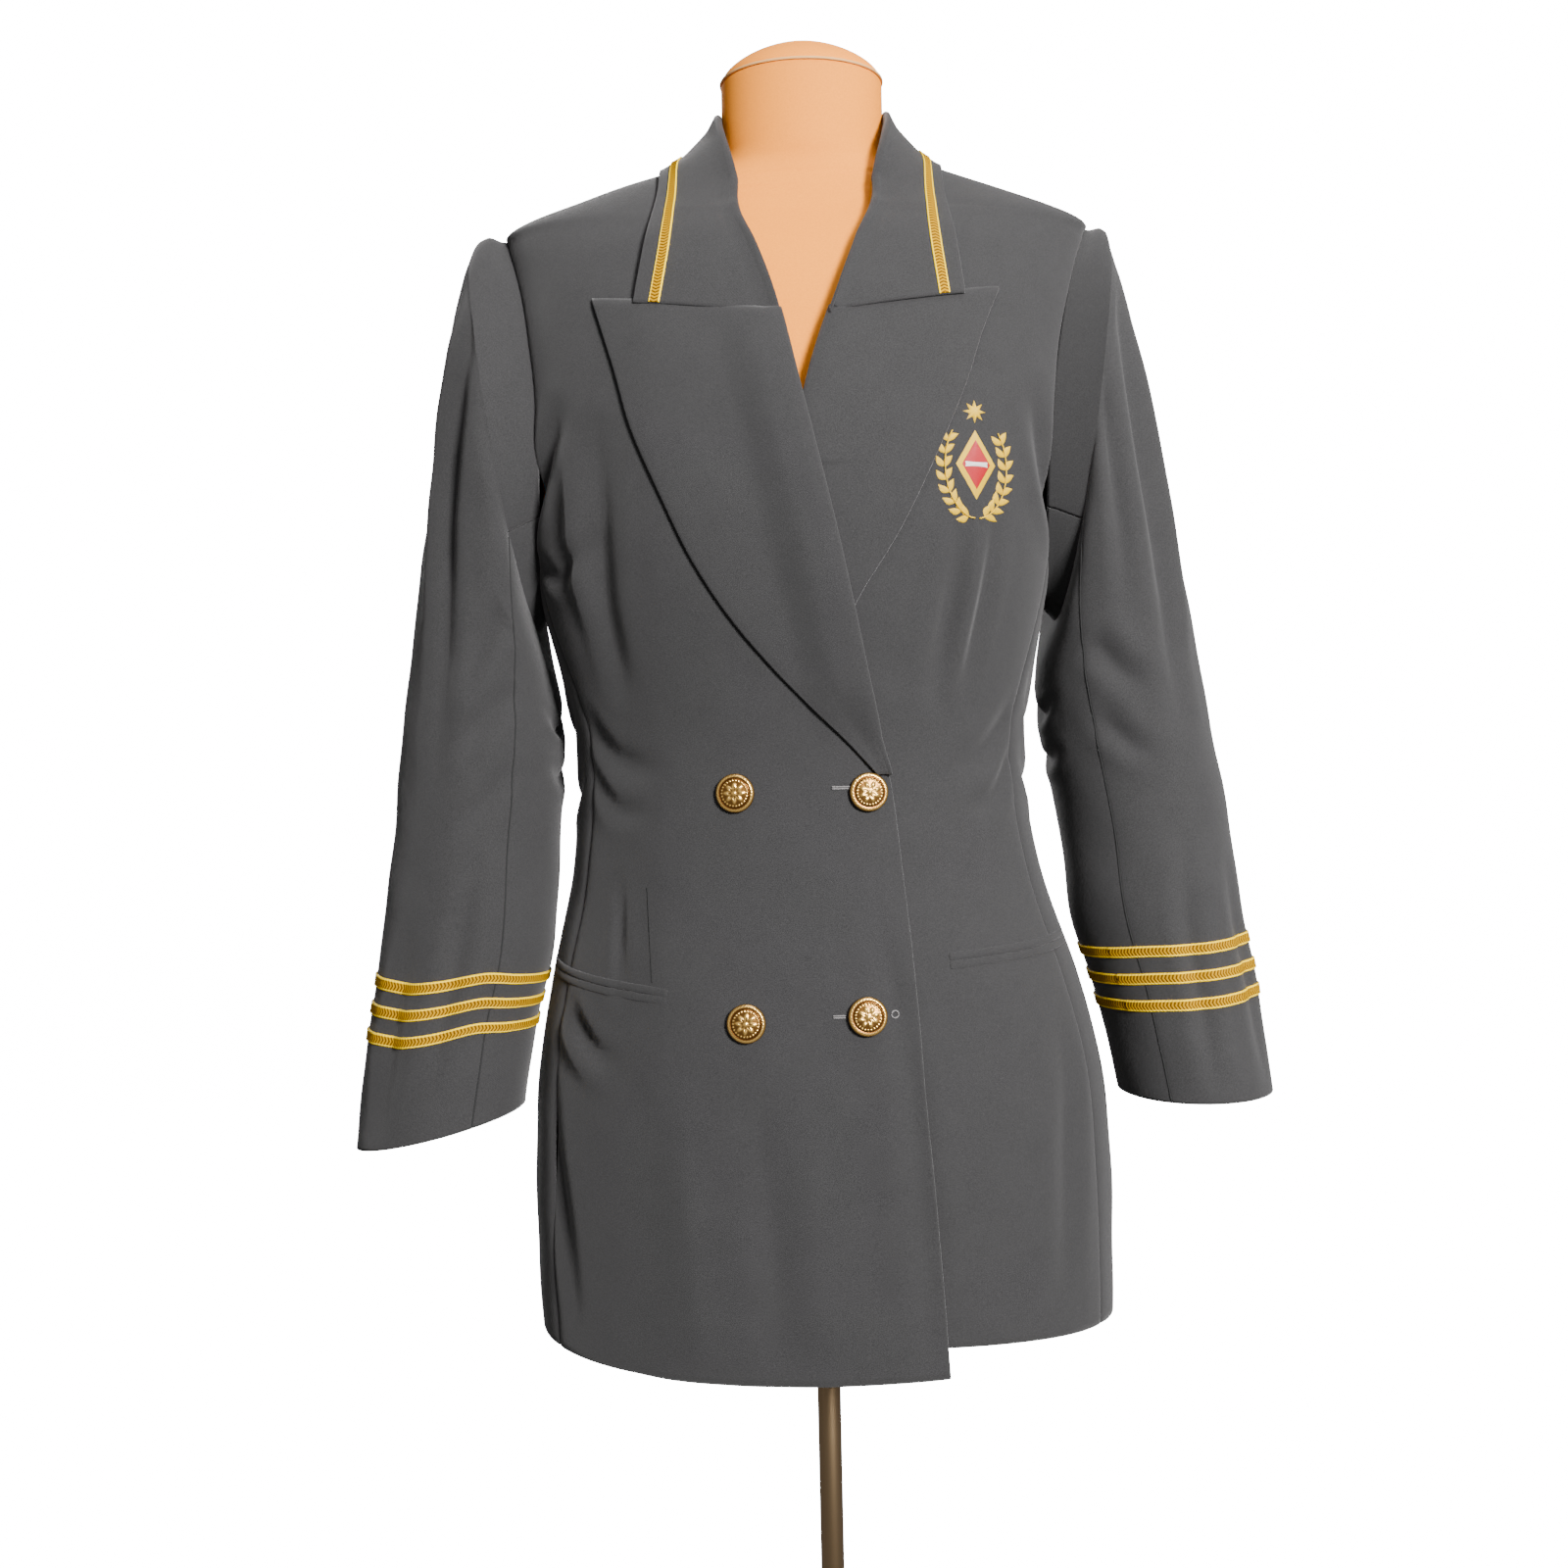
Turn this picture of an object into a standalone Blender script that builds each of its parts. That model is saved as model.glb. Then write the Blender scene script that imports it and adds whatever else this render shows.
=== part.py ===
"""A double-breasted uniform jacket on a limbless dress form. Metres, +Z up, the front faces -Y."""
import math

import bmesh
import bpy
import numpy as np
from mathutils import Vector

# Driving sizes
CLOTH = 0.0016
GAP = 0.0003
HEM_OVER = 0.472
HEM_UNDER = 0.493
HEM_SIDES = {-1: 0.478, 1: 0.481}
HEM_BACK = 0.470
NECK_Z = 1.253
SHOULDER_TIP_Z = 1.210
ARMPIT_Z = 0.955
ARMHOLE_SPREAD = math.radians(28)
SIDE_SEAM = math.radians(62)
SEAM_ANGLE = 0.0011
BUTTON_RADIUS = 0.012
BRAID_WIDTH = 0.0075
BRAID_THICK = 0.0013
POLE_RADIUS = 0.008
BASE_RADIUS = 0.15
BASE_HEIGHT = 0.018
FORM_BOTTOM = 0.5
FORM_NECK = 0.0545
FORM_TOP = 1.312
QUARTER = math.pi / 2

# The coat's outer surface: one row for each level
# z, middle x, half width, depth to the front, depth to the back, roundness
LEVELS = (
    (0.430, 0.000, 0.192, 0.124, 0.130, 2.30),
    (0.520, 0.000, 0.1945, 0.125, 0.132, 2.30),
    (0.600, -0.001, 0.1935, 0.124, 0.130, 2.30),
    (0.660, -0.002, 0.188, 0.121, 0.124, 2.30),
    (0.720, -0.005, 0.175, 0.116, 0.113, 2.30),
    (0.780, -0.008, 0.1585, 0.110, 0.100, 2.25),
    (0.850, -0.010, 0.151, 0.107, 0.092, 2.20),
    (0.900, -0.011, 0.157, 0.113, 0.098, 2.20),
    (0.960, -0.012, 0.170, 0.123, 0.109, 2.25),
    (1.020, -0.012, 0.178, 0.126, 0.116, 2.30),
    (1.080, -0.010, 0.183, 0.118, 0.116, 2.35),
    (1.140, -0.008, 0.188, 0.101, 0.110, 2.35),
    (1.180, -0.007, 0.192, 0.084, 0.099, 2.30),
    (1.203, -0.006, 0.195, 0.069, 0.087, 2.25),
    (1.214, -0.005, 0.187, 0.061, 0.080, 2.20),
    (1.232, -0.004, 0.144, 0.052, 0.070, 2.10),
    (1.250, -0.002, 0.091, 0.047, 0.061, 2.00),
    (1.262, 0.000, 0.070, 0.044, 0.057, 2.00),
)

# Where each front ends towards the middle: z, x. Above the break this is the roll line.
OVER_EDGE = (
    (0.430, 0.073), (0.550, 0.067), (0.650, 0.060), (0.700, 0.057), (0.780, 0.050),
    (0.848, 0.0425), (0.912, 0.030), (0.989, 0.0143), (1.079, -0.006), (1.143, -0.0198),
    (1.193, -0.036), (1.235, -0.051), (1.262, -0.062),
)
UNDER_EDGE = (
    (0.430, -0.090), (0.700, -0.074), (0.848, -0.055), (0.950, -0.034), (1.083, -0.0042),
    (1.149, 0.0175), (1.1785, 0.028), (1.212, 0.0385), (1.240, 0.051), (1.262, 0.062),
)
# The free edges of the lapels: z, x
OVER_LAPEL = (
    (0.841, 0.039), (0.865, 0.018), (0.889, -0.006), (0.915, -0.030), (0.945, -0.054),
    (0.979, -0.075), (1.016, -0.092), (1.059, -0.110), (1.099, -0.121), (1.142, -0.132),
)
UNDER_LAPEL = (
    (0.900, 0.002), (0.948, 0.0225), (0.990, 0.049), (1.030, 0.070), (1.083, 0.094),
    (1.120, 0.107), (1.154, 0.119),
)

# Sleeve sections, signed for their side: outer x, outer z, inner x, inner z, middle y, half depth
SLEEVE_RIGHT = (
    (-0.2225, 1.2025, -0.187, 0.946, 0.004, 0.076),
    (-0.2370, 1.159, -0.183, 0.930, 0.004, 0.078),
    (-0.249, 1.090, -0.178, 0.912, 0.002, 0.073),
    (-0.262, 1.006, -0.174, 0.890, 0.000, 0.067),
    (-0.276, 0.905, -0.172, 0.850, -0.004, 0.063),
    (-0.286, 0.810, -0.176, 0.790, -0.010, 0.061),
    (-0.295, 0.735, -0.183, 0.735, -0.018, 0.059),
    (-0.304, 0.668, -0.194, 0.682, -0.026, 0.057),
    (-0.311, 0.606, -0.201, 0.630, -0.034, 0.056),
)
SLEEVE_LEFT = (
    (0.204, 1.196, 0.166, 0.946, 0.004, 0.076),
    (0.2165, 1.157, 0.160, 0.930, 0.004, 0.078),
    (0.2315, 1.085, 0.154, 0.912, 0.002, 0.073),
    (0.247, 1.000, 0.152, 0.890, 0.000, 0.067),
    (0.262, 0.905, 0.157, 0.850, -0.004, 0.063),
    (0.275, 0.820, 0.165, 0.800, -0.010, 0.061),
    (0.281, 0.758, 0.170, 0.748, -0.018, 0.059),
    (0.289, 0.696, 0.186, 0.689, -0.026, 0.057),
    (0.297, 0.632, 0.197, 0.631, -0.034, 0.056),
)
SLEEVE_SEAM = math.radians(122)
SLEEVE_GAP = 0.003
CAP_SHARE = 0.06
SLEEVE_LENGTH = 0.53
CUFF_BRAIDS = {"right": (0.791, 0.826, 0.861), "left": (0.802, 0.838, 0.873)}

# The collar: where the back ends, the height of each end and the outer edge's x, back and front
BACK_SHARE = 0.45
COLLAR_END_Z = {-1: 1.1438, 1: 1.1436}
GORGE_RISE = {-1: 0.0, 1: 0.005}
COLLAR_OUTER_X = {-1: (-0.098, -0.108), 1: (0.098, 0.101)}
LAPEL_TOP = 1.1416
COLLAR_HIGH = 0.0053
BRAID_SET_IN = 0.010
BRAID_CLEAR = 0.0010
CUFF_CLEAR = 0.0009
COLLAR_STATIONS = 31
JET_THICK = 0.0012
BUTTON_CLEAR = 0.0005

# The largest folds of the coat's body: width, depth, then angles (degrees) and heights along each
BODY_FOLDS = (
    (0.020, 0.0050, ((-74, 1.005), (-62, 1.035), (-52, 1.075))),
    (0.020, 0.0046, ((-40, 1.060), (-41, 1.010), (-43, 0.960), (-44, 0.905))),
    (0.018, 0.0040, ((-58, 0.690), (-49, 0.672), (-42, 0.664))),
    (0.020, 0.0046, ((76, 1.000), (62, 1.030), (52, 1.080))),
    (0.020, 0.0042, ((40, 1.000), (38, 0.950), (34, 0.895))),
    (0.020, 0.0040, ((62, 0.880), (50, 0.858), (38, 0.848))),
    (0.020, 0.0042, ((-62, 0.880), (-50, 0.858), (-36, 0.850))),
    (0.022, 0.0044, ((112, 0.890), (132, 0.862), (150, 0.856), (172, 0.854))),
    (0.022, 0.0044, ((-112, 0.890), (-130, 0.862), (-149, 0.856), (-170, 0.854))),
    (0.022, 0.0046, ((112, 1.010), (122, 1.050), (128, 1.110))),
    (0.022, 0.0046, ((-112, 1.010), (-121, 1.046), (-127, 1.104))),
    (0.022, 0.0040, ((140, 0.700), (142, 0.600), (144, 0.490))),
    (0.022, 0.0038, ((-138, 0.700), (-141, 0.600), (-143, 0.480))),
)
# The largest folds of the sleeves: side, width, depth, then turns (degrees) and shares of the length
SLEEVE_FOLDS = (
    ("right", 0.018, 0.0046, ((62, 0.020), (58, 0.250), (66, 0.430), (70, 0.560))),
    ("right", 0.016, 0.0044, ((112, 0.340), (96, 0.420), (84, 0.470))),
    ("right", 0.018, 0.0036, ((-60, 0.080), (-62, 0.300), (-70, 0.480))),
    ("right", 0.018, 0.0042, ((205, 0.440), (182, 0.470), (158, 0.460))),
    ("left", 0.018, 0.0048, ((46, 0.080), (50, 0.260), (58, 0.430), (62, 0.520))),
    ("left", 0.016, 0.0046, ((116, 0.380), (100, 0.440), (84, 0.480))),
    ("left", 0.018, 0.0036, ((-58, 0.080), (-60, 0.300), (-68, 0.480))),
    ("left", 0.018, 0.0042, ((205, 0.430), (182, 0.460), (158, 0.450))),
)
BODY_RADIUS = 0.16
SLEEVE_RADIUS = 0.058

# Buttons: name, x, z
BUTTONS = (
    ("button_upper_right", -0.052, 0.835),
    ("button_upper_left", 0.030, 0.834),
    ("button_lower_right", -0.048, 0.694),
    ("button_lower_left", 0.026, 0.697),
)
# Pockets: side, angle and height of the outer end, angle and height of the inner end (degrees, m)
POCKETS = (
    ("right", -78, 0.7225, -30, 0.7095),
    ("left", 73, 0.7345, 28, 0.7280),
)

# Colours: name, red, green, blue, roughness, metallic
FINISHES = {
    "wool": (0.070, 0.070, 0.074, 0.9, 0.0),
    "braid": (0.78, 0.46, 0.04, 0.6, 0.0),
    "gilt": (0.85, 0.55, 0.20, 0.3, 1.0),
    "linen": (0.95, 0.52, 0.18, 0.85, 0.0),
    "bronze": (0.22, 0.16, 0.10, 0.3, 1.0),
}


def smooth(low, high, value):
    """A soft step from 0 at low to 1 at high."""
    part = min(1.0, max(0.0, (value - low) / (high - low)))
    return part * part * (3 - 2 * part)


def fine_rows(rows, steps=12):
    """A smooth curve through the rows of a table, as an array with steps rows for each gap."""
    table = np.array(rows, float)
    last = len(table) - 1
    out = []
    for index in range(last):
        before = table[max(index - 1, 0)]
        start = table[index]
        end = table[index + 1]
        after = table[min(index + 2, last)]
        for step in range(steps):
            t = step / steps
            out.append(0.5 * (2 * start + (end - before) * t
                              + (2 * before - 5 * start + 4 * end - after) * t * t
                              + (3 * start - before - 3 * end + after) * t ** 3))
    out.append(table[-1])
    return np.array(out)


FINE_LEVELS = fine_rows(LEVELS)
FINE_OVER_EDGE = fine_rows(OVER_EDGE, 6)
FINE_UNDER_EDGE = fine_rows(UNDER_EDGE, 6)
FINE_OVER_LAPEL = fine_rows(OVER_LAPEL, 6)
FINE_UNDER_LAPEL = fine_rows(UNDER_LAPEL, 6)


def read_x(fine, z):
    """The x of an edge table at a height."""
    return float(np.interp(z, fine[:, 0], fine[:, 1]))


def level(z):
    """Middle x, half width, front depth, back depth and roundness of the coat at a height."""
    return [float(np.interp(z, FINE_LEVELS[:, 0], FINE_LEVELS[:, column])) for column in range(1, 6)]


def body_point(angle, z):
    """A point of the coat's surface: angle 0 is the middle of the front, a quarter turn is +X."""
    middle, half, front, back, power = level(z)
    across = math.sin(angle)
    along = math.cos(angle)
    reach = (abs(across) ** power + abs(along) ** power) ** (-1 / power)
    depth = front if along > 0 else back
    return Vector((middle + half * reach * across, -depth * reach * along, z))


def body_measure(point):
    """Below 0 inside the coat's surface and above 0 outside it."""
    middle, half, front, back, power = level(point.z)
    depth = front if point.y < 0 else back
    across = abs(point.x - middle) / half
    along = abs(point.y) / depth
    return (across ** power + along ** power) ** (1 / power) - 1


def body_slope(point):
    """The gradient of body_measure."""
    step = 0.0005
    slope = []
    for axis in range(3):
        move = Vector((0, 0, 0))
        move[axis] = step
        slope.append((body_measure(point + move) - body_measure(point - move)) / (2 * step))
    return Vector(slope)


def fold_depth(across, along, folds):
    """How far folds push a surface in, from each fold's width, depth and points, all in metres."""
    total = 0.0
    for width, depth, points in folds:
        length = 0.0
        spans = []
        for start, end in zip(points, points[1:]):
            span = math.hypot(end[0] - start[0], end[1] - start[1])
            part = ((across - start[0]) * (end[0] - start[0]) + (along - start[1]) * (end[1] - start[1]))
            part = min(1.0, max(0.0, part / span ** 2))
            away = math.hypot(across - start[0] - part * (end[0] - start[0]),
                              along - start[1] - part * (end[1] - start[1]))
            spans.append((away, length + part * span))
            length += span
        away, place = min(spans)
        fade = math.sin(math.pi * (0.08 + 0.84 * place / length))
        total += depth * fade * math.exp(-(away / width) ** 2)
    return total


BODY_FOLD_ROWS = [(width, depth, [(math.radians(a) * BODY_RADIUS, z) for a, z in points])
                  for width, depth, points in BODY_FOLDS]


def lifted(point, distance):
    """A point of the coat's surface moved straight out of it."""
    return point + body_slope(point).normalized() * distance


def clear_of_body(point, distance):
    """The point, moved out until it is at least this far from the coat's surface."""
    for _ in range(5):
        slope = body_slope(point)
        away = body_measure(point) / slope.length
        if away < distance:
            point = point + slope.normalized() * (distance - away)
    return point


def front_point(x, z):
    """The point of the front's surface at x and z."""
    middle, half, front, _, power = level(z)
    across = min(abs(x - middle) / half, 0.9999)
    return Vector((x, -front * (1 - across ** power) ** (1 / power), z))


def front_angle(x, z):
    """The angle of the front's point at x and z."""
    middle, half, front, _, _ = level(z)
    point = front_point(x, z)
    return math.atan2((point.x - middle) / half, -point.y / front)


def over_lift(x, z):
    """How far the front that laps on top lies outside the coat's surface."""
    edge = read_x(FINE_OVER_EDGE, z)
    on_front = 0.0024 * smooth(-0.125, -0.095, x) * (1 - smooth(1.10, 1.20, z))
    on_lapel = 0.0048 * smooth(edge - 0.045, edge - 0.020, x) * smooth(0.86, 0.90, z)
    return on_front + on_lapel * (1 - smooth(1.085, 1.15, z))


def armhole_angle(z):
    """How far round from the side the armhole reaches at a height."""
    middle = (SHOULDER_TIP_Z + ARMPIT_Z) / 2
    half = (SHOULDER_TIP_Z - ARMPIT_Z) / 2
    part = (z - middle) / half
    return ARMHOLE_SPREAD * math.sqrt(max(0.0, 1 - part * part))


def armhole_low(angle):
    """The height of the armhole's lower edge at an angle."""
    middle = (SHOULDER_TIP_Z + ARMPIT_Z) / 2
    half = (SHOULDER_TIP_Z - ARMPIT_Z) / 2
    part = (QUARTER - abs(angle)) / ARMHOLE_SPREAD
    return middle - half * math.sqrt(max(0.0, 1 - part * part))


def side_angle(z):
    """The angle of the seam between a front and its side panel; the back's is its mirror."""
    return SIDE_SEAM + math.radians(10) * smooth(0.86, 0.985, z)


def panel_edge(z):
    """The angle where a front ends at its side panel, the armhole or the shoulder seam."""
    if z < 1.0:
        low = armhole_low(side_angle(z))
        if z < low:
            return side_angle(z)
    if z < SHOULDER_TIP_Z:
        return QUARTER - armhole_angle(z)
    return QUARTER


def hem_height(angle, over):
    """The hem's height: the front that laps on top hangs lower than the other."""
    side = math.sin(angle) ** 2
    at_side = HEM_SIDES[-1 if angle < 0 else 1]
    middle = HEM_BACK
    if abs(angle) < QUARTER:
        middle = HEM_OVER if over else HEM_UNDER
    return middle + (at_side - middle) * side


def row_heights():
    """The heights of the rows of the fronts and the backs, closer together over the shoulder."""
    low = [0.46, 0.52, 0.58, 0.64, 0.70, 0.76, 0.81, 0.86, 0.91, 0.95]
    high = [0.985, 1.02, 1.06, 1.10, 1.135, 1.165, 1.188, 1.203, 1.2104, 1.222, 1.235, 1.245, NECK_Z]
    return low + high


def set_row(z, angle, over):
    """A row's height at an angle: the lower rows follow the hem."""
    hem = hem_height(angle, over)
    first = row_heights()[0]
    top = 0.64
    if z >= top:
        return z
    return hem + (z - first) * (top - hem) / (top - first)


def finish(name):
    """The material of a kind of surface."""
    found = bpy.data.materials.get(name)
    if found:
        return found
    red, green, blue, rough, metal = FINISHES[name]
    material = bpy.data.materials.new(name)
    material.use_nodes = True
    shader = material.node_tree.nodes["Principled BSDF"]
    shader.inputs["Base Color"].default_value = (red, green, blue, 1)
    shader.inputs["Roughness"].default_value = rough
    shader.inputs["Metallic"].default_value = metal
    return material


def add_object(name, points, faces, material):
    """One closed body as a named object, its faces pointing out."""
    mesh = bpy.data.meshes.new(name)
    mesh.from_pydata([tuple(point) for point in points], [], faces)
    work = bmesh.new()
    work.from_mesh(mesh)
    bmesh.ops.triangulate(work, faces=work.faces)
    bmesh.ops.recalc_face_normals(work, faces=work.faces)
    if work.calc_volume(signed=True) < 0:
        bmesh.ops.reverse_faces(work, faces=work.faces)
    work.to_mesh(mesh)
    work.free()
    mesh.materials.append(finish(material))
    mesh.shade_smooth()
    mesh.set_sharp_from_angle(angle=math.radians(40))
    item = bpy.data.objects.new(name, mesh)
    bpy.context.scene.collection.objects.link(item)
    return item


def grid_normals(grid, wrap):
    """The normal at each point of a grid of points, from its neighbours."""
    rows = len(grid)
    columns = len(grid[0])
    normals = []
    for row in range(rows):
        line = []
        for column in range(columns):
            if wrap:
                left = grid[row][column - 1]
                right = grid[row][(column + 1) % columns]
            else:
                left = grid[row][max(column - 1, 0)]
                right = grid[row][min(column + 1, columns - 1)]
            down = grid[max(row - 1, 0)][column]
            up = grid[min(row + 1, rows - 1)][column]
            line.append((right - left).cross(up - down).normalized())
        normals.append(line)
    return normals


def wall(name, grid, material, thick=CLOTH, wrap=False, normals=None):
    """A wall of cloth: the grid is its face, and the other face lies its thickness behind."""
    rows = len(grid)
    columns = len(grid[0])
    if normals is None:
        normals = grid_normals(grid, wrap)
    points = [point for line in grid for point in line]
    for row in range(rows):
        for column in range(columns):
            points.append(grid[row][column] - normals[row][column] * thick)
    behind = rows * columns
    faces = []
    around = columns if wrap else columns - 1

    def place(row, column, side=0):
        return side + row * columns + column % columns

    for row in range(rows - 1):
        for column in range(around):
            a, b = place(row, column), place(row, column + 1)
            c, d = place(row + 1, column + 1), place(row + 1, column)
            faces.append((a, b, c, d))
            faces.append((d + behind, c + behind, b + behind, a + behind))
    for column in range(around):
        a, b = place(0, column), place(0, column + 1)
        faces.append((b, a, a + behind, b + behind))
        c, d = place(rows - 1, column), place(rows - 1, column + 1)
        faces.append((c, d, d + behind, c + behind))
    if not wrap:
        for row in range(rows - 1):
            a, b = place(row, 0), place(row + 1, 0)
            faces.append((a, b, b + behind, a + behind))
            c, d = place(row, columns - 1), place(row + 1, columns - 1)
            faces.append((d, c, c + behind, d + behind))
    return add_object(name, points, faces, material)


def spread(start, end, count):
    """Evenly spaced values from start to end."""
    return [start + (end - start) * index / (count - 1) for index in range(count)]


def body_wall(name, lines, lift=None):
    """A panel of the coat from rows of (angle, z) pairs."""
    grid = []
    normals = []
    for line in lines:
        flat = [body_point(angle, z) for angle, z in line]
        slopes = [body_slope(point).normalized() for point in flat]
        sunk = [fold_depth(angle * BODY_RADIUS, z, BODY_FOLD_ROWS) for angle, z in line]
        high = [lift(point.x, point.z) if lift else 0.0 for point in flat]
        grid.append([p + n * (up - down) for p, n, up, down in zip(flat, slopes, high, sunk)])
        normals.append(slopes)
    wall(name, grid, "wool", normals=normals)
    return grid


def make_fronts():
    """The two fronts, each from its middle edge to the side panel, armhole and shoulder seam."""
    grids = []
    for name, sign, fine, over in (
            ("front_right_over", -1, FINE_OVER_EDGE, True),
            ("front_left_under", 1, FINE_UNDER_EDGE, False)):
        lines = []
        for z in row_heights():
            inner = front_angle(read_x(fine, z), z)
            outer = sign * (panel_edge(z) - SEAM_ANGLE)
            line = [(angle, set_row(z, angle, over)) for angle in spread(inner, outer, 14)]
            lines.append(line)
        grid = body_wall(name, lines, over_lift if over else None)
        grids.append([line[::-1] for line in grid] if over else grid)
    return grids


def make_backs():
    """The two backs, each from the centre back seam to the side panel, armhole and shoulder."""
    for name, sign in (("back_right", -1), ("back_left", 1)):
        lines = []
        for z in row_heights():
            inner = sign * (math.pi - SEAM_ANGLE)
            outer = sign * (math.pi - panel_edge(z) + SEAM_ANGLE)
            line = [(angle, set_row(z, angle, False)) for angle in spread(inner, outer, 12)]
            lines.append(line)
        body_wall(name, lines)


def make_sides():
    """The two side panels, under the armholes."""
    for name, sign in (("side_panel_right", -1), ("side_panel_left", 1)):
        rows = row_heights()[:11]
        top = armhole_low(side_angle(0.985))
        lines = []
        for z in rows:
            front = side_angle(z) + SEAM_ANGLE
            angles = spread(front, math.pi - front, 7)
            line = []
            for angle in angles:
                cut = armhole_low(angle)
                height = set_row(z, sign * angle, sign < 0)
                share = smooth(0.70, 0.985, z)
                line.append((sign * angle, height + (min(cut, top) - 0.985) * share))
            lines.append(line)
        body_wall(name, lines)


def armhole_point(turn, sign):
    """A point of the armhole: turn 0 is the shoulder tip, a quarter turn the front, half the armpit."""
    middle = (SHOULDER_TIP_Z + ARMPIT_Z) / 2
    half = (SHOULDER_TIP_Z - ARMPIT_Z) / 2
    z = middle + half * math.cos(turn)
    angle = QUARTER - ARMHOLE_SPREAD * math.sin(turn)
    return body_point(sign * angle, z)


def sleeve_maker(rows, sign, side):
    """A function of turn and length (0 at the armhole, 1 at the cuff) that gives the sleeve's surface."""
    folds = [(width, depth, [(math.radians(a) * SLEEVE_RADIUS, b * SLEEVE_LENGTH) for a, b in points])
             for name, width, depth, points in SLEEVE_FOLDS if name == side]
    fine = fine_rows(rows, 8)
    places = np.linspace(0, 1, len(fine))

    def surface(turn, share):
        start = armhole_point(turn, sign) + Vector((sign * 0.0012, 0, 0))
        section = [float(np.interp(max(share, 0.0), places, fine[:, column])) for column in range(6)]
        outer = Vector((section[0], section[4], section[1]))
        inner = Vector((section[2], section[4], section[3]))
        middle = (outer + inner) / 2
        sunk = 0.0
        for shift in (0.0, -2 * math.pi):
            sunk += fold_depth((turn + shift) * SLEEVE_RADIUS, share * SLEEVE_LENGTH, folds)
        keep = 1 - sunk / section[5]
        point = middle + (outer - middle) * math.cos(turn) * keep
        point += Vector((0, -section[5] * math.sin(turn) * keep, 0))
        if share < 0:
            return point.lerp(start, min(1.0, -share / CAP_SHARE))
        return point

    return surface


def surface_normal(surface, turn, share, low, high):
    """The direction straight out of a sleeve's surface."""
    step = 0.004
    around = surface(turn + step, share) - surface(turn - step, share)
    along = surface(turn, min(share + step, high)) - surface(turn, max(share - step, low))
    return along.cross(around).normalized()


def make_sleeves():
    """Each sleeve in two pieces, lofted from the armhole down its hanging path."""
    makers = {}
    for side, sign, rows in (("right", -1, SLEEVE_RIGHT), ("left", 1, SLEEVE_LEFT)):
        surface = sleeve_maker(rows, sign, side)
        makers[side] = surface
        shares = [-CAP_SHARE, -CAP_SHARE / 2] + spread(0.0, 1.0, 14)
        for piece, first, last, count in (
                ("top_sleeve", -SLEEVE_SEAM, SLEEVE_SEAM, 14),
                ("under_sleeve", SLEEVE_SEAM, 2 * math.pi - SLEEVE_SEAM, 7)):
            turns = spread(first + SLEEVE_GAP, last - SLEEVE_GAP, count)
            grid = [[surface(turn, share) for turn in turns] for share in shares]
            normals = [[surface_normal(surface, turn, share, -CAP_SHARE, 1.0) * -sign
                        for turn in turns] for share in shares]
            wall(f"{piece}_{side}", grid, "wool", normals=normals)
    return makers


def rest_on(grid, x, z):
    """The point of a front's own grid at x and z."""
    depths = []
    for line in grid:
        depths.append(float(np.interp(x, [point.x for point in line], [point.y for point in line])))
    heights = [line[-1].z for line in grid]
    return Vector((x, float(np.interp(z, heights, depths)), z))


def lapel_wall(name, sign, edge, free, heights, front, hidden=None):
    """A turned-back lapel: it rolls over the front's edge and lies flat on the front."""
    grid = []
    for height in heights:
        z = height
        rise = GORGE_RISE[sign] * (height - heights[0]) / (heights[-1] - heights[0])
        start = read_x(edge, z)
        end = read_x(free, z)
        bulge = 0.0021
        width = max(abs(end - start), 0.004)
        size = min(1.0, width / 0.03)
        roll = [(0.0022, -0.0006), (0.0030, 0.0010), (0.0030, 0.0030), (0.0012, 0.0047)]
        if hidden is not None:
            cut = read_x(hidden, z) - 0.014
            if cut > start:
                start = cut
                bulge = 0.0006
                roll = [(-0.001, 0.0031), (-0.002, 0.0032), (-0.003, 0.0032), (-0.004, 0.0032)]
        line = []
        for out, high in roll:
            slope = body_slope(front_point(start, z)).normalized()
            base = rest_on(front, start, z) - Vector((sign * out, 0, 0))
            line.append(base + slope * high)
        first = 0.08
        for share in spread(first, 1.0, 7):
            x = start + (end - start) * share
            z = height + rise * share
            high = 0.0027 + bulge * size * (1 - smooth(0.0, 0.5, share)) + 0.0006 * share
            slope = body_slope(front_point(x, z)).normalized()
            line.append(rest_on(front, x, z) + slope * high)
        grid.append(line if sign > 0 else line[::-1])
    wall(name, grid, "wool")


def make_lapels(over_front, under_front):
    """The two lapels."""
    over = spread(0.865, LAPEL_TOP, 12)
    lapel_wall("lapel_right", -1, FINE_OVER_EDGE, FINE_OVER_LAPEL, over, over_front)
    under = spread(0.935, LAPEL_TOP, 11)
    lapel_wall("lapel_left", 1, FINE_UNDER_EDGE, FINE_UNDER_LAPEL, under, under_front, FINE_OVER_EDGE)


def settle(point, distance):
    """A collar point, clear of the coat; above the neck seam it is free."""
    free = smooth(NECK_Z + 0.001, NECK_Z + 0.010, point.z)
    if free >= 1:
        return point
    return clear_of_body(point, distance - (distance + 0.008) * free)


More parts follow.
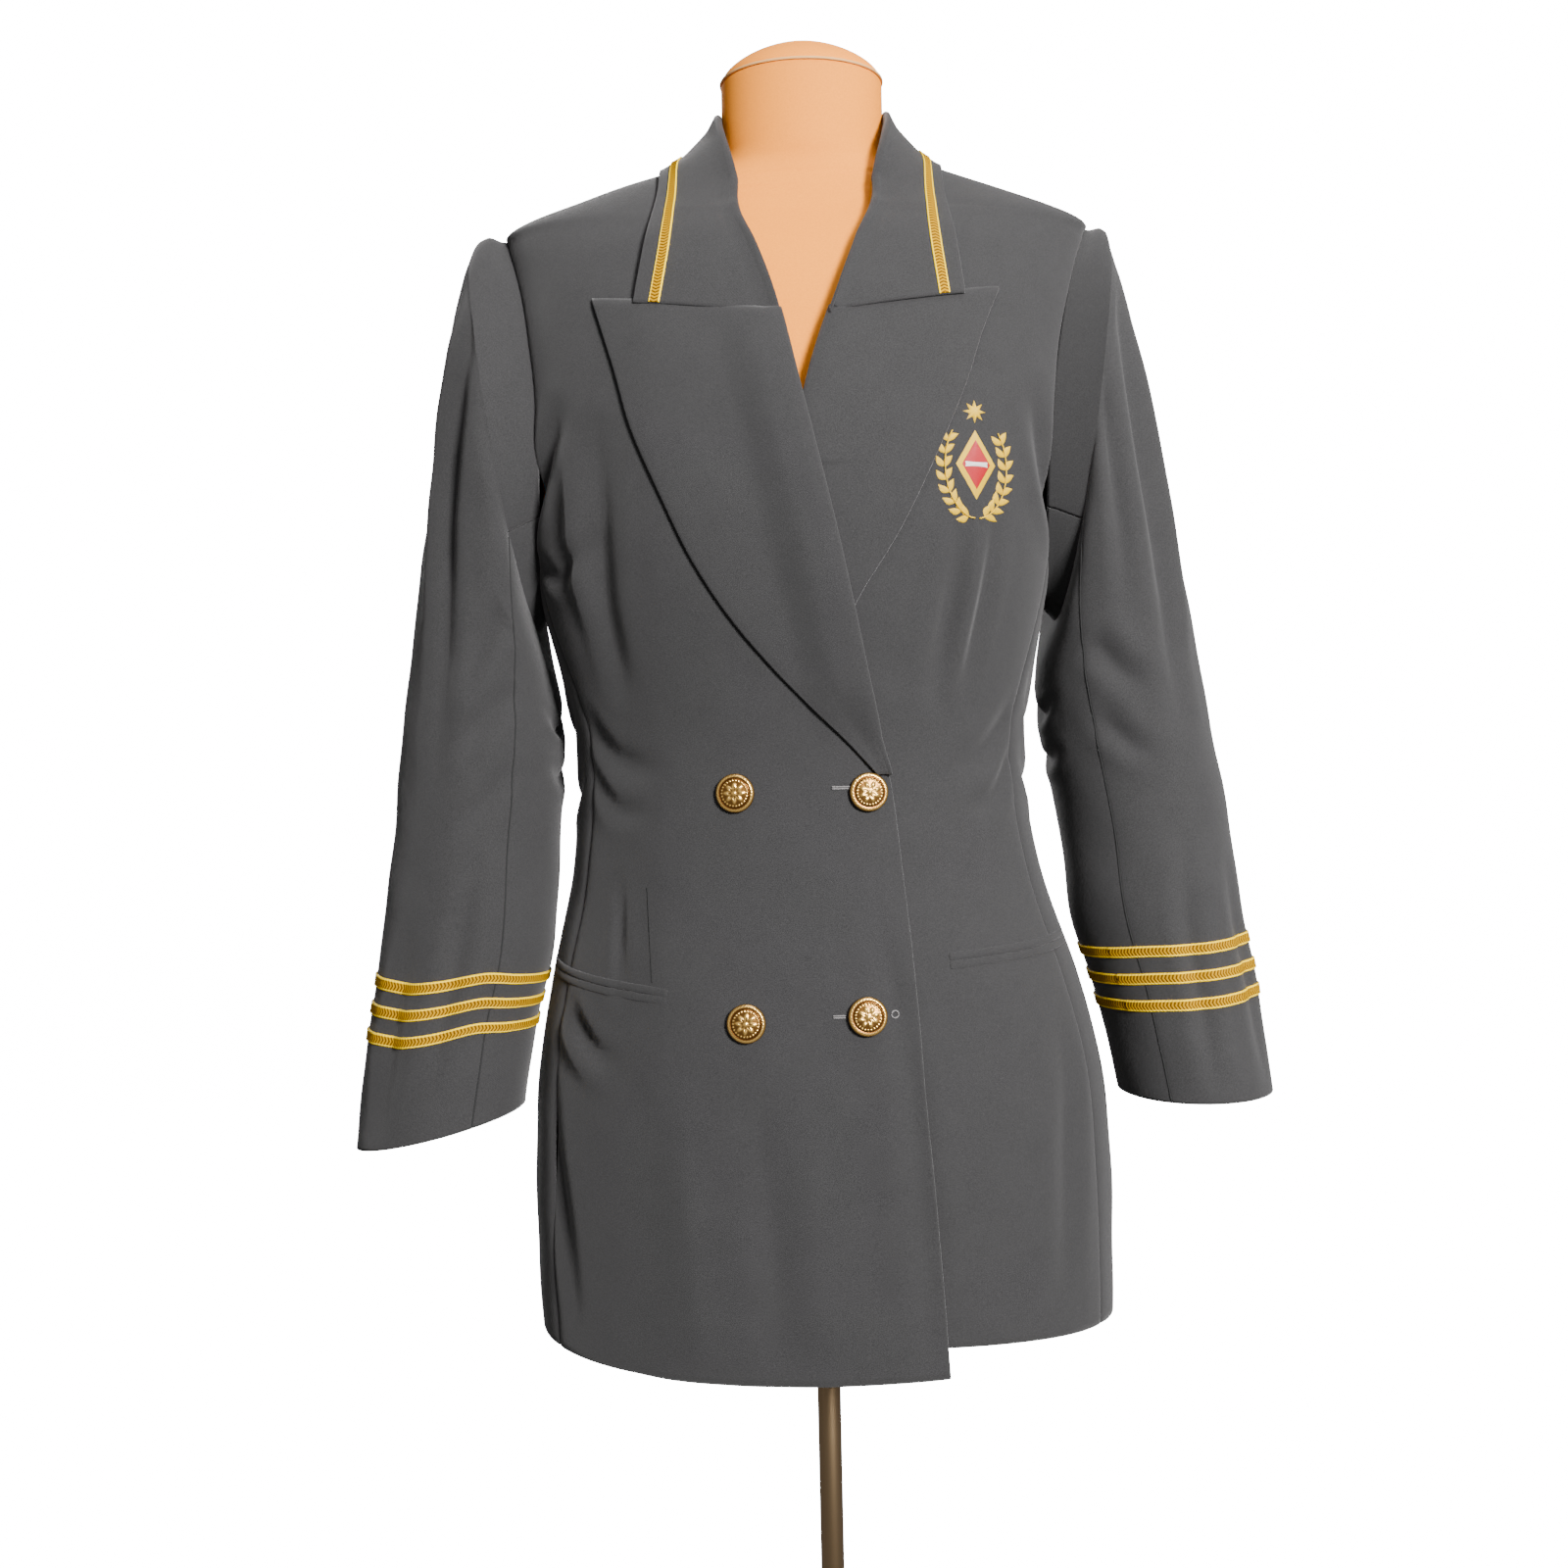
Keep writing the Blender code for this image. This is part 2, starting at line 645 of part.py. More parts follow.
def collar_line(station):
    """The collar at a station from -1, its right end, to 1: fold, outer edge and seam points."""
    side = -1 if station < 0 else 1
    front = min(1.0, max(0.0, (abs(station) - BACK_SHARE) / (1 - BACK_SHARE)))
    if abs(station) <= BACK_SHARE:
        turn = QUARTER * abs(station) / BACK_SHARE
        fold = Vector((side * 0.0600 * math.sin(turn), 0.066 * math.cos(turn), 1.291 + 0.003 * math.cos(turn)))
        outer = Vector((side * 0.0980 * math.sin(turn), 0.092 * math.cos(turn), 1.2495 - 0.006 * math.cos(turn)))
        seam = Vector((side * 0.0660 * math.sin(turn), 0.063 * math.cos(turn), NECK_Z + 0.007))
        return fold, outer, seam
    edge = FINE_OVER_EDGE if side < 0 else FINE_UNDER_EDGE
    end_z = COLLAR_END_Z[side]
    fold_z = 1.291 + (end_z - 1.291) * front
    bend = smooth(0.0, 0.38, front)
    roll = read_x(edge, min(fold_z, 1.262))
    roll_point = front_point(roll, min(fold_z, 1.258))
    fold_x = side * 0.0600 * (1 - bend) + (roll - side * 0.0015) * bend
    fold_y = (roll_point.y - 0.002) * bend
    fold = settle(Vector((fold_x, fold_y, fold_z)), 0.0040)
    outer_z = 1.2495 + (end_z + GORGE_RISE[side] - 1.2495) * front
    outer_x = COLLAR_OUTER_X[side][0] + (COLLAR_OUTER_X[side][1] - COLLAR_OUTER_X[side][0]) * front
    outer = front_point(outer_x, min(outer_z, 1.25))
    outer.z = outer_z
    outer.y *= smooth(0.0, 0.12, front)
    reach = 0.007 + 0.020 * (1 - smooth(0.0, 0.5, front))
    seam = fold + Vector((side * 0.006 * (1 - bend), 0.0, -reach)) * (1 - bend * 0.75)
    return fold, outer, seam


def collar_grid(stations):
    """Rows across the collar for each station, from the outer edge over the fold to the seam."""
    grid = []
    for station in stations:
        fold, outer, seam = collar_line(station)
        away = (outer - fold)
        flat = Vector((away.x, away.y, 0)).normalized()
        line = []
        for share in (1.0, 0.85, 0.68, 0.5, 0.33, 0.17):
            point = fold.lerp(outer, share) + flat * 0.0035 * math.sin(math.pi * share)
            line.append(settle(point, COLLAR_HIGH))
        top = Vector((0, 0, 0.0032))
        line.append(fold + flat * 0.0030 + top * 0.3)
        line.append(fold + top)
        line.append(fold - flat * 0.0026 + top * 0.2)
        line.append(settle(fold.lerp(seam, 0.5) - flat * 0.0028, 0.0032))
        line.append(settle(seam - flat * 0.0024, 0.0026))
        grid.append(line)
    return grid


def make_collar():
    """The collar: one cloth that stands from the neck seam and falls over its fold."""
    grid = collar_grid(spread(-1.0, 1.0, COLLAR_STATIONS))
    wall("collar", grid, "wool")


def walk(line, distance):
    """The point this far along a line of points."""
    for start, end in zip(line, line[1:]):
        span = (end - start).length
        if distance <= span:
            return start.lerp(end, distance / span)
        distance -= span
    return line[-1]


def make_collar_braid():
    """The braid that runs round the collar, set in from its outer edge."""
    grid = []
    for line in collar_grid(spread(-1.0, 1.0, COLLAR_STATIONS)):
        ends = (BRAID_SET_IN, BRAID_SET_IN + BRAID_WIDTH / 2, BRAID_SET_IN + BRAID_WIDTH)
        grid.append([walk(line, away) for away in ends])
    normals = grid_normals(grid, False)
    raised = []
    for row, directions in zip(grid, normals):
        raised.append([p + n * (BRAID_THICK + BRAID_CLEAR) for p, n in zip(row, directions)])
    wall("collar_braid", raised, "braid", BRAID_THICK, normals=normals)


def make_cuff_braids(makers):
    """Three rows of braid round each cuff."""
    for side, sign in (("right", -1), ("left", 1)):
        surface = makers[side]
        for number, middle in enumerate(CUFF_BRAIDS[side], 1):
            half = BRAID_WIDTH / 2 / SLEEVE_LENGTH
            grid = []
            normals = []
            for share in (middle - half, middle + half):
                turns = [2 * math.pi * index / 32 for index in range(32)]
                out = [surface_normal(surface, turn, share, -CAP_SHARE, 1.0) * -sign for turn in turns]
                grid.append([surface(turn, share) + n * (BRAID_THICK + CUFF_CLEAR) for turn, n in zip(turns, out)])
                normals.append(out)
            wall(f"cuff_braid_{side}_{number}", grid, "braid", BRAID_THICK, wrap=True, normals=normals)


def make_pockets():
    """The two jets of each pocket mouth, laid on the front and the side panel."""
    for side, first, first_z, last, last_z in POCKETS:
        for jet, low, high in (("upper", 0.0003, 0.0048), ("lower", -0.0048, -0.0003)):
            grid = []
            normals = []
            for share in spread(0.0, 1.0, 10):
                angle = math.radians(first + (last - first) * share)
                z = first_z + (last_z - first_z) * share
                line = []
                for rise in (low, high):
                    point = body_point(angle, z + rise)
                    lift = over_lift(point.x, point.z) if side == "right" else 0.0
                    line.append(lifted(point, lift + GAP + JET_THICK))
                grid.append(line)
                normals.append([body_slope(point).normalized() for point in line])
            wall(f"pocket_{side}_{jet}_jet", grid, "wool", JET_THICK, normals=normals)


def turned(name, profile, sides, material, place, axis):
    """A body turned from a profile of radius and height, its first and last points on the axis."""
    rotate = Vector((0, 0, 1)).rotation_difference(axis)
    points = [Vector((0, 0, profile[0][1]))]
    for radius, height in profile[1:-1]:
        for index in range(sides):
            turn = 2 * math.pi * index / sides
            points.append(Vector((radius * math.cos(turn), radius * math.sin(turn), height)))
    points.append(Vector((0, 0, profile[-1][1])))
    faces = []
    rings = len(profile) - 2
    last = len(points) - 1
    for index in range(sides):
        after = (index + 1) % sides
        faces.append((0, 1 + after, 1 + index))
        for ring in range(rings - 1):
            low = 1 + ring * sides
            high = low + sides
            faces.append((low + index, low + after, high + after, high + index))
        top = 1 + (rings - 1) * sides
        faces.append((last, top + index, top + after))
    return add_object(name, [place + rotate @ point for point in points], faces, material)


def make_buttons(front):
    """Four domed shank buttons, each on the front that it is sewn to."""
    profile = (
        (0, 0.0), (0.0026, 0.0), (0.0026, 0.0026), (0.0108, 0.0030), (BUTTON_RADIUS, 0.0040),
        (0.0117, 0.0052), (0.0104, 0.0056), (0.0094, 0.0052), (0.0060, 0.0064), (0, 0.0070),
    )
    for name, x, z in BUTTONS:
        axis = body_slope(front_point(x, z)).normalized()
        place = rest_on(front, x, z) + axis * BUTTON_CLEAR
        turned(name, profile, 18, "gilt", place, axis)


def form_ring(z):
    """Half width, front depth, back depth and middle x of the dress form at a height."""
    inset = 0.011 - 0.0088 * smooth(1.12, 1.20, z)
    middle, half, front, back, power = level(min(z + 0.0026, 1.2555))
    half, front, back = half - inset, front - inset, back - inset
    if z < 0.70:
        taper = smooth(0.46, 0.70, z)
        half, front, back = (value * (0.90 + 0.10 * taper) for value in (half, front, back))
    neck = smooth(1.235, 1.262, z)
    half += (FORM_NECK - half) * neck
    front += (FORM_NECK * 0.80 - front) * neck
    back += (FORM_NECK * 0.94 - back) * neck
    middle *= 1 - neck
    power += (2 - power) * neck
    return middle, half, front, back, power


def form_solid(name, heights, shrink=None):
    """A closed solid of the form's rings at the given heights."""
    sides = 32
    points = []
    for index, z in enumerate(heights):
        middle, half, front, back, power = form_ring(z)
        scale = shrink[index] if shrink else 1.0
        for step in range(sides):
            turn = 2 * math.pi * step / sides
            across, along = math.sin(turn), math.cos(turn)
            reach = scale * (abs(across) ** power + abs(along) ** power) ** (-1 / power)
            depth = front if along > 0 else back
            points.append(Vector((middle + half * reach * across, -depth * reach * along, z)))
    faces = []
    for row in range(len(heights) - 1):
        for step in range(sides):
            after = (step + 1) % sides
            low, high = row * sides, (row + 1) * sides
            faces.append((low + step, low + after, high + after, high + step))
    faces.append(tuple(range(sides))[::-1])
    top = (len(heights) - 1) * sides
    faces.append(tuple(range(top, top + sides)))
    return add_object(name, points, faces, "linen")


def make_form():
    """The dress form, its neck cap, pole and base."""
    low = [FORM_BOTTOM, 0.55, 0.61, 0.67, 0.73, 0.79, 0.85, 0.90, 0.95, 1.0, 1.05, 1.10, 1.14, 1.17]
    high = [1.19, 1.2, 1.207, 1.213, 1.22, 1.228, 1.236, 1.244, 1.252, 1.262, 1.285, FORM_TOP]
    form_solid("form_torso", low + high)
    cap_heights = [FORM_TOP + GAP + rise for rise in (0.0, 0.006, 0.012, 0.018, 0.023, 0.026)]
    form_solid("form_neck_cap", cap_heights, (1.0, 0.985, 0.92, 0.80, 0.60, 0.32))
    up = Vector((0, 0, 1))
    pole = ((0, BASE_HEIGHT + GAP), (POLE_RADIUS, BASE_HEIGHT + GAP),
            (POLE_RADIUS, FORM_BOTTOM - GAP), (0, FORM_BOTTOM - GAP))
    turned("form_pole", pole, 24, "bronze", Vector((0, 0, 0)), up)
    base = ((0, 0.0), (BASE_RADIUS - 0.002, 0.0), (BASE_RADIUS, 0.002), (BASE_RADIUS, 0.010),
            (BASE_RADIUS - 0.004, 0.014), (0.04, BASE_HEIGHT), (0, BASE_HEIGHT))
    turned("form_base", base, 48, "bronze", Vector((0, 0, 0)), up)


def clear_scene():
    """Takes every object out of the scene."""
    for item in list(bpy.data.objects):
        bpy.data.objects.remove(item, do_unlink=True)


def main():
    """Builds the whole object."""
    clear_scene()
    over_front, under_front = make_fronts()
    make_backs()
    make_sides()
    makers = make_sleeves()
    make_lapels(over_front, under_front)
    make_collar()
    make_collar_braid()
    make_cuff_braids(makers)
    make_pockets()
    make_buttons(over_front)
    make_form()


main()
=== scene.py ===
"""The finish of a double-breasted uniform jacket on a dress form: cloth, braid, buttons, form and light."""
import math

import bpy
import numpy as np
from mathutils import Matrix, Vector


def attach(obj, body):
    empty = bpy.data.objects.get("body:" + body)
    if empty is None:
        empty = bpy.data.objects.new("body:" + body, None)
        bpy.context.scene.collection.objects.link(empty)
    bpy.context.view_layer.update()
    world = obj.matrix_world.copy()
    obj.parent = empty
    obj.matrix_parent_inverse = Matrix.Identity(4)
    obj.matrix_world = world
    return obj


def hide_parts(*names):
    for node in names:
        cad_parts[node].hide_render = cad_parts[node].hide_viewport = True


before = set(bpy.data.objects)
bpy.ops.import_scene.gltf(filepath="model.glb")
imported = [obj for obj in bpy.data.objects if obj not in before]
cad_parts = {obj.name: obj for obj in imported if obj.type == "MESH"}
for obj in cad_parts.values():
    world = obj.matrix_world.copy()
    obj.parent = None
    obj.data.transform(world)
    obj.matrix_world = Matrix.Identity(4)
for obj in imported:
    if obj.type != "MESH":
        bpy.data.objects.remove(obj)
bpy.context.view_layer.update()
BODY = "root"
QUARTER = math.pi / 2

# Sizes that this script shares with the solids, in metres
CLOTH = 0.0016
GAP = 0.0003
HEM_OVER = 0.472
HEM_UNDER = 0.493
HEM_SIDES = (0.478, 0.481)
HEM_BACK = 0.470
NECK_Z = 1.253
SHOULDER_TIP_Z = 1.210
ARMPIT_Z = 0.955
ARMHOLE_SPREAD = math.radians(28)
SIDE_SEAM = math.radians(62)
SLEEVE_SEAM = math.radians(122)
CAP_SHARE = 0.06
SEAM_ANGLE = 0.0011
BUTTON_RADIUS = 0.012
BRAID_WIDTH = 0.0075
BASE_RADIUS = 0.15
BASE_HEIGHT = 0.018
FORM_BOTTOM = 0.5
FORM_NECK = 0.0545
FORM_TOP = 1.312
SLEEVE_LENGTH = 0.53
BODY_RADIUS = 0.16
SLEEVE_RADIUS = 0.058

# Sizes of the finish: the sleeve's start under the body, its distance from the body, the least cut width,
# how much narrower and deeper the folds are than their table says, and the badge's middle
TUCKED = 0.0022
SLEEVE_CLEAR = 0.0009
SEWN_WIDTH = 0.010
FOLD_WIDTH = 0.70
FOLD_DEPTH = 1.4
EMBLEM_X = 0.1006
EMBLEM_Z = 1.0375
CAMERA_PLACE = (-0.022, -1.10, 0.86)

# The coat's outer surface: z, middle x, half width, depth to the front, depth to the back, roundness
LEVELS = (
    (0.430, 0.000, 0.192, 0.124, 0.130, 2.30),
    (0.520, 0.000, 0.1945, 0.125, 0.132, 2.30),
    (0.600, -0.001, 0.1935, 0.124, 0.130, 2.30),
    (0.660, -0.002, 0.188, 0.121, 0.124, 2.30),
    (0.720, -0.005, 0.175, 0.116, 0.113, 2.30),
    (0.780, -0.008, 0.1585, 0.110, 0.100, 2.25),
    (0.850, -0.010, 0.151, 0.107, 0.092, 2.20),
    (0.900, -0.011, 0.157, 0.113, 0.098, 2.20),
    (0.960, -0.012, 0.170, 0.123, 0.109, 2.25),
    (1.020, -0.012, 0.178, 0.126, 0.116, 2.30),
    (1.080, -0.010, 0.183, 0.118, 0.116, 2.35),
    (1.140, -0.008, 0.188, 0.101, 0.110, 2.35),
    (1.180, -0.007, 0.192, 0.084, 0.099, 2.30),
    (1.203, -0.006, 0.195, 0.069, 0.087, 2.25),
    (1.214, -0.005, 0.1925, 0.061, 0.080, 2.20),
    (1.232, -0.004, 0.147, 0.052, 0.070, 2.10),
    (1.250, -0.002, 0.091, 0.047, 0.061, 2.00),
    (1.262, 0.000, 0.070, 0.044, 0.057, 2.00),
)
# Where each front ends towards the middle: z, x. Above the break this is the roll line.
OVER_EDGE = (
    (0.430, 0.073), (0.550, 0.067), (0.650, 0.060), (0.700, 0.057), (0.780, 0.050),
    (0.848, 0.0425), (0.912, 0.030), (0.989, 0.0143), (1.079, -0.006), (1.143, -0.0198),
    (1.193, -0.036), (1.235, -0.051), (1.262, -0.062),
)
UNDER_EDGE = (
    (0.430, -0.090), (0.700, -0.074), (0.848, -0.055), (0.950, -0.034), (1.083, -0.0042),
    (1.149, 0.0175), (1.1785, 0.028), (1.212, 0.0385), (1.240, 0.051), (1.262, 0.062),
)
# The free edges of the lapels: z, x
OVER_LAPEL = (
    (0.841, 0.039), (0.865, 0.018), (0.889, -0.006), (0.915, -0.030), (0.945, -0.054),
    (0.979, -0.075), (1.016, -0.092), (1.059, -0.110), (1.099, -0.121), (1.142, -0.134), (1.152, -0.137),
)
UNDER_LAPEL = (
    (0.900, 0.002), (0.948, 0.0225), (0.990, 0.049), (1.030, 0.070), (1.083, 0.094),
    (1.120, 0.107), (1.154, 0.1215),
)
# Sleeve sections, signed for their side: outer x, outer z, inner x, inner z, middle y, half depth
SLEEVE_RIGHT = (
    (-0.2245, 1.2000, -0.187, 0.946, 0.004, 0.076),
    (-0.2370, 1.159, -0.183, 0.930, 0.004, 0.078),
    (-0.249, 1.090, -0.178, 0.912, 0.002, 0.073),
    (-0.262, 1.006, -0.174, 0.890, 0.000, 0.067),
    (-0.276, 0.905, -0.172, 0.850, -0.004, 0.063),
    (-0.286, 0.810, -0.176, 0.790, -0.010, 0.061),
    (-0.295, 0.735, -0.179, 0.735, -0.018, 0.059),
    (-0.304, 0.668, -0.191, 0.682, -0.026, 0.057),
    (-0.311, 0.606, -0.199, 0.630, -0.034, 0.056),
)
SLEEVE_LEFT = (
    (0.2010, 1.1990, 0.166, 0.946, 0.004, 0.076),
    (0.2130, 1.157, 0.160, 0.930, 0.004, 0.078),
    (0.2290, 1.085, 0.154, 0.912, 0.002, 0.073),
    (0.247, 1.000, 0.152, 0.890, 0.000, 0.067),
    (0.262, 0.905, 0.157, 0.850, -0.004, 0.063),
    (0.275, 0.820, 0.165, 0.800, -0.010, 0.061),
    (0.281, 0.758, 0.170, 0.748, -0.018, 0.059),
    (0.289, 0.696, 0.186, 0.689, -0.026, 0.057),
    (0.297, 0.632, 0.197, 0.631, -0.034, 0.056),
)
# How far a cuff braid sags from a straight one: share of the way from the outer side to the inner, metres
CUFF_WAVE = ((0.0, -0.0035), (0.14, -0.0020), (0.30, 0.0004), (0.50, -0.0006), (0.70, -0.0030),
             (0.86, 0.0004), (1.0, 0.0042))
CUFF_BRAIDS = {"right": (0.791, 0.826, 0.861), "left": (0.802, 0.838, 0.873)}
BUTTONS = (
    ("upper_right", -0.052, 0.835),
    ("upper_left", 0.030, 0.834),
    ("lower_right", -0.048, 0.694),
    ("lower_left", 0.026, 0.697),
)
# Pockets: side, angle and height of the outer end, angle and height of the inner end (degrees, m)
POCKETS = (
    ("right", -78, 0.7225, -30, 0.7095),
    ("left", 73, 0.7345, 28, 0.7280),
)
BACK_SHARE = 0.45
COLLAR_END_Z = {-1: 1.1285, 1: 1.1305}
GORGE_RISE = {-1: 0.0115, 1: 0.0120}
# The top of each lapel: its height at the roll and at the peak
LAPEL_TOPS = {-1: (1.1315, 1.1480), 1: (1.1335, 1.1505)}
COLLAR_OUTER_X = {-1: (-0.091, -0.108), 1: (0.087, 0.096)}
COLLAR_HIGH = 0.0053
COLLAR_SINK = 0.0024
BRAID_SET_IN = 0.010
# The collar's fold from the side of the neck down to the chest: share of its way, x, y, z
COLLAR_NECK = (
    (0.0, 0.0572, 0.000, 1.2900), (0.08, 0.0566, -0.017, 1.281), (0.16, 0.0550, -0.031, 1.270),
    (0.24, 0.0524, -0.042, 1.2575), (0.33, 0.0490, -0.0505, 1.2435), (0.42, 0.0458, -0.0555, 1.229),
)

# Folds of the coat's body: surface, width, depth (a ridge is negative), then points of angle and height
BODY_FOLDS = (
    ("front", 0.012, 0.0045, ((-74, 1.005), (-62, 1.035), (-52, 1.075))),
    ("front", 0.009, 0.0030, ((-70, 0.985), (-58, 0.975), (-44, 0.995))),
    ("front", 0.013, 0.0042, ((-40, 1.060), (-41, 1.010), (-43, 0.960), (-44, 0.905))),
    ("front", 0.010, -0.0022, ((-49, 1.050), (-50, 1.000), (-51, 0.950))),
    ("front", 0.007, 0.0024, ((-47, 0.780), (-43, 0.730), (-42, 0.712))),
    ("front", 0.008, 0.0032, ((-58, 0.698), (-49, 0.676), (-42, 0.668))),
    ("front", 0.010, -0.0022, ((-62, 0.686), (-50, 0.660), (-43, 0.650))),
    ("front", 0.014, 0.0030, ((-64, 0.640), (-58, 0.570), (-54, 0.500))),
    ("front", 0.012, 0.0032, ((36, 0.998), (34, 0.950), (32, 0.895))),
    ("front", 0.009, 0.0028, ((43, 1.000), (42, 0.950), (40, 0.900))),
    ("front", 0.010, -0.0020, ((39, 1.000), (38, 0.950), (36, 0.900))),
    ("front", 0.012, 0.0036, ((76, 1.000), (62, 1.030), (52, 1.080))),
    ("front", 0.012, 0.0026, ((60, 0.885), (50, 0.860), (38, 0.845))),
    ("front", 0.010, 0.0024, ((62, 0.860), (52, 0.830), (42, 0.822))),
    ("front", 0.011, 0.0026, ((-60, 0.880), (-50, 0.858), (-36, 0.850))),
    ("front", 0.009, 0.0020, ((-61, 0.850), (-50, 0.826), (-38, 0.822))),
    ("front", 0.014, 0.0026, ((54, 0.680), (50, 0.600), (47, 0.510))),
    ("front", 0.010, 0.0016, ((14, 0.760), (16, 0.680), (17, 0.560), (18, 0.490))),
    ("front", 0.016, 0.0022, ((-12, 0.640), (-10, 0.560), (-9, 0.480))),
    ("front", 0.014, -0.0016, ((-26, 0.640), (-25, 0.560), (-24, 0.480))),
    ("side", 0.012, 0.0030, ((74, 0.900), (90, 0.868), (106, 0.890))),
    ("side", 0.010, 0.0026, ((72, 0.850), (90, 0.832), (108, 0.850))),
    ("side", 0.012, 0.0030, ((-74, 0.895), (-90, 0.864), (-106, 0.884))),
    ("side", 0.010, 0.0024, ((-72, 0.846), (-90, 0.826), (-108, 0.842))),
    ("side", 0.014, 0.0026, ((-86, 0.700), (-88, 0.600), (-90, 0.480))),
    ("side", 0.014, 0.0024, ((88, 0.700), (91, 0.600), (92, 0.500))),
    ("back", 0.014, 0.0036, ((116, 0.905), (132, 0.872), (150, 0.862), (170, 0.858))),
    ("back", 0.011, 0.0030, ((118, 0.866), (136, 0.840), (158, 0.836))),
    ("back", 0.012, -0.0022, ((117, 0.886), (134, 0.856), (154, 0.850))),
    ("back", 0.014, 0.0034, ((-116, 0.900), (-130, 0.870), (-149, 0.866), (-168, 0.862))),
    ("back", 0.011, 0.0028, ((-118, 0.860), (-138, 0.838), (-156, 0.842))),
    ("back", 0.012, -0.0020, ((-117, 0.880), (-136, 0.853), (-152, 0.855))),
    ("back", 0.014, 0.0040, ((112, 1.010), (122, 1.050), (128, 1.110))),
    ("back", 0.012, 0.0030, ((108, 0.985), (124, 0.985), (140, 1.000))),
    ("back", 0.014, 0.0040, ((-112, 1.010), (-121, 1.046), (-127, 1.104))),
    ("back", 0.012, 0.0028, ((-108, 0.985), (-126, 0.990), (-142, 1.006))),
    ("back", 0.016, 0.0030, ((140, 0.700), (142, 0.600), (144, 0.490))),
    ("back", 0.016, 0.0028, ((-138, 0.700), (-141, 0.600), (-143, 0.480))),
    ("back", 0.014, -0.0020, ((158, 0.690), (160, 0.590), (161, 0.490))),
    ("back", 0.020, 0.0012, ((150, 1.205), (168, 1.196), (180, 1.194))),
    ("back", 0.020, 0.0011, ((-150, 1.203), (-166, 1.196), (-180, 1.194))),
)
# Folds of the sleeves: side, width, depth, then points of turn (degrees) and share of the length
SLEEVE_FOLDS = (
    ("right", 0.012, 0.0038, ((62, 0.020), (58, 0.250), (66, 0.430), (70, 0.560))),
    ("right", 0.013, -0.0026, ((44, 0.050), (42, 0.260), (48, 0.440))),
    ("right", 0.009, 0.0032, ((112, 0.300), (96, 0.390), (84, 0.450))),
    ("right", 0.009, 0.0030, ((118, 0.420), (100, 0.480), (86, 0.520))),
    ("right", 0.008, 0.0024, ((120, 0.520), (104, 0.570), (92, 0.590))),
    ("right", 0.012, 0.0028, ((60, 0.720), (56, 0.860), (54, 0.960))),
    ("right", 0.010, 0.0022, ((100, 0.640), (94, 0.760), (92, 0.900))),
    ("right", 0.012, 0.0030, ((-60, 0.080), (-62, 0.300), (-70, 0.480))),
    ("right", 0.010, 0.0030, ((-118, 0.380), (-100, 0.440), (-84, 0.460))),
    ("right", 0.010, 0.0026, ((-120, 0.480), (-104, 0.520), (-88, 0.530))),
    ("right", 0.012, 0.0024, ((-40, 0.560), (-44, 0.740), (-46, 0.920))),
    ("right", 0.010, 0.0030, ((0, 0.020), (6, 0.120), (10, 0.240))),
    ("right", 0.012, 0.0034, ((200, 0.380), (180, 0.420), (160, 0.400))),
    ("right", 0.010, 0.0026, ((205, 0.480), (182, 0.510), (158, 0.500))),
    ("left", 0.012, 0.0040, ((46, 0.080), (50, 0.260), (58, 0.430), (62, 0.520))),
    ("left", 0.013, -0.0026, ((30, 0.080), (33, 0.280), (40, 0.440))),
    ("left", 0.010, 0.0030, ((84, 0.020), (82, 0.200), (86, 0.360))),
    ("left", 0.009, 0.0034, ((116, 0.360), (100, 0.430), (84, 0.470))),
    ("left", 0.009, 0.0028, ((118, 0.470), (102, 0.520), (88, 0.545))),
    ("left", 0.010, 0.0026, ((76, 0.660), (84, 0.800), (88, 0.960))),
    ("left", 0.012, 0.0022, ((40, 0.700), (38, 0.840), (36, 0.960))),
    ("left", 0.012, 0.0030, ((-58, 0.080), (-60, 0.300), (-68, 0.480))),
    ("left", 0.010, 0.0030, ((-118, 0.370), (-100, 0.430), (-84, 0.450))),
    ("left", 0.010, 0.0026, ((-120, 0.470), (-104, 0.510), (-88, 0.520))),
    ("left", 0.012, 0.0024, ((-42, 0.560), (-45, 0.740), (-47, 0.920))),
    ("left", 0.010, 0.0028, ((0, 0.020), (5, 0.120), (8, 0.230))),
    ("left", 0.012, 0.0034, ((200, 0.370), (180, 0.410), (160, 0.395))),
    ("left", 0.010, 0.0026, ((205, 0.470), (182, 0.500), (158, 0.490))),
)


def smooth(low, high, value):
    """A soft step from 0 at low to 1 at high, for numbers and arrays."""
    part = np.clip((value - low) / (high - low), 0.0, 1.0)
    return part * part * (3 - 2 * part)


def fine_rows(rows, steps=12):
    """A smooth curve through the rows of a table, as an array with steps rows for each gap."""
    table = np.array(rows, float)
    last = len(table) - 1
    out = []
    for index in range(last):
        before = table[max(index - 1, 0)]
        start = table[index]
        end = table[index + 1]
        after = table[min(index + 2, last)]
        for step in range(steps):
            t = step / steps
            out.append(0.5 * (2 * start + (end - before) * t
                              + (2 * before - 5 * start + 4 * end - after) * t * t
                              + (3 * start - before - 3 * end + after) * t ** 3))
    out.append(table[-1])
    return np.array(out)


FINE_LEVELS = fine_rows(LEVELS)
FINE_OVER_EDGE = fine_rows(OVER_EDGE, 6)
FINE_UNDER_EDGE = fine_rows(UNDER_EDGE, 6)
FINE_OVER_LAPEL = fine_rows(OVER_LAPEL, 6)
ROLL_SET_IN = 0.0035
FINE_UNDER_LAPEL = fine_rows(UNDER_LAPEL, 6)


def read_x(fine, z):
    """The x of an edge table at heights."""
    return np.interp(z, fine[:, 0], fine[:, 1])


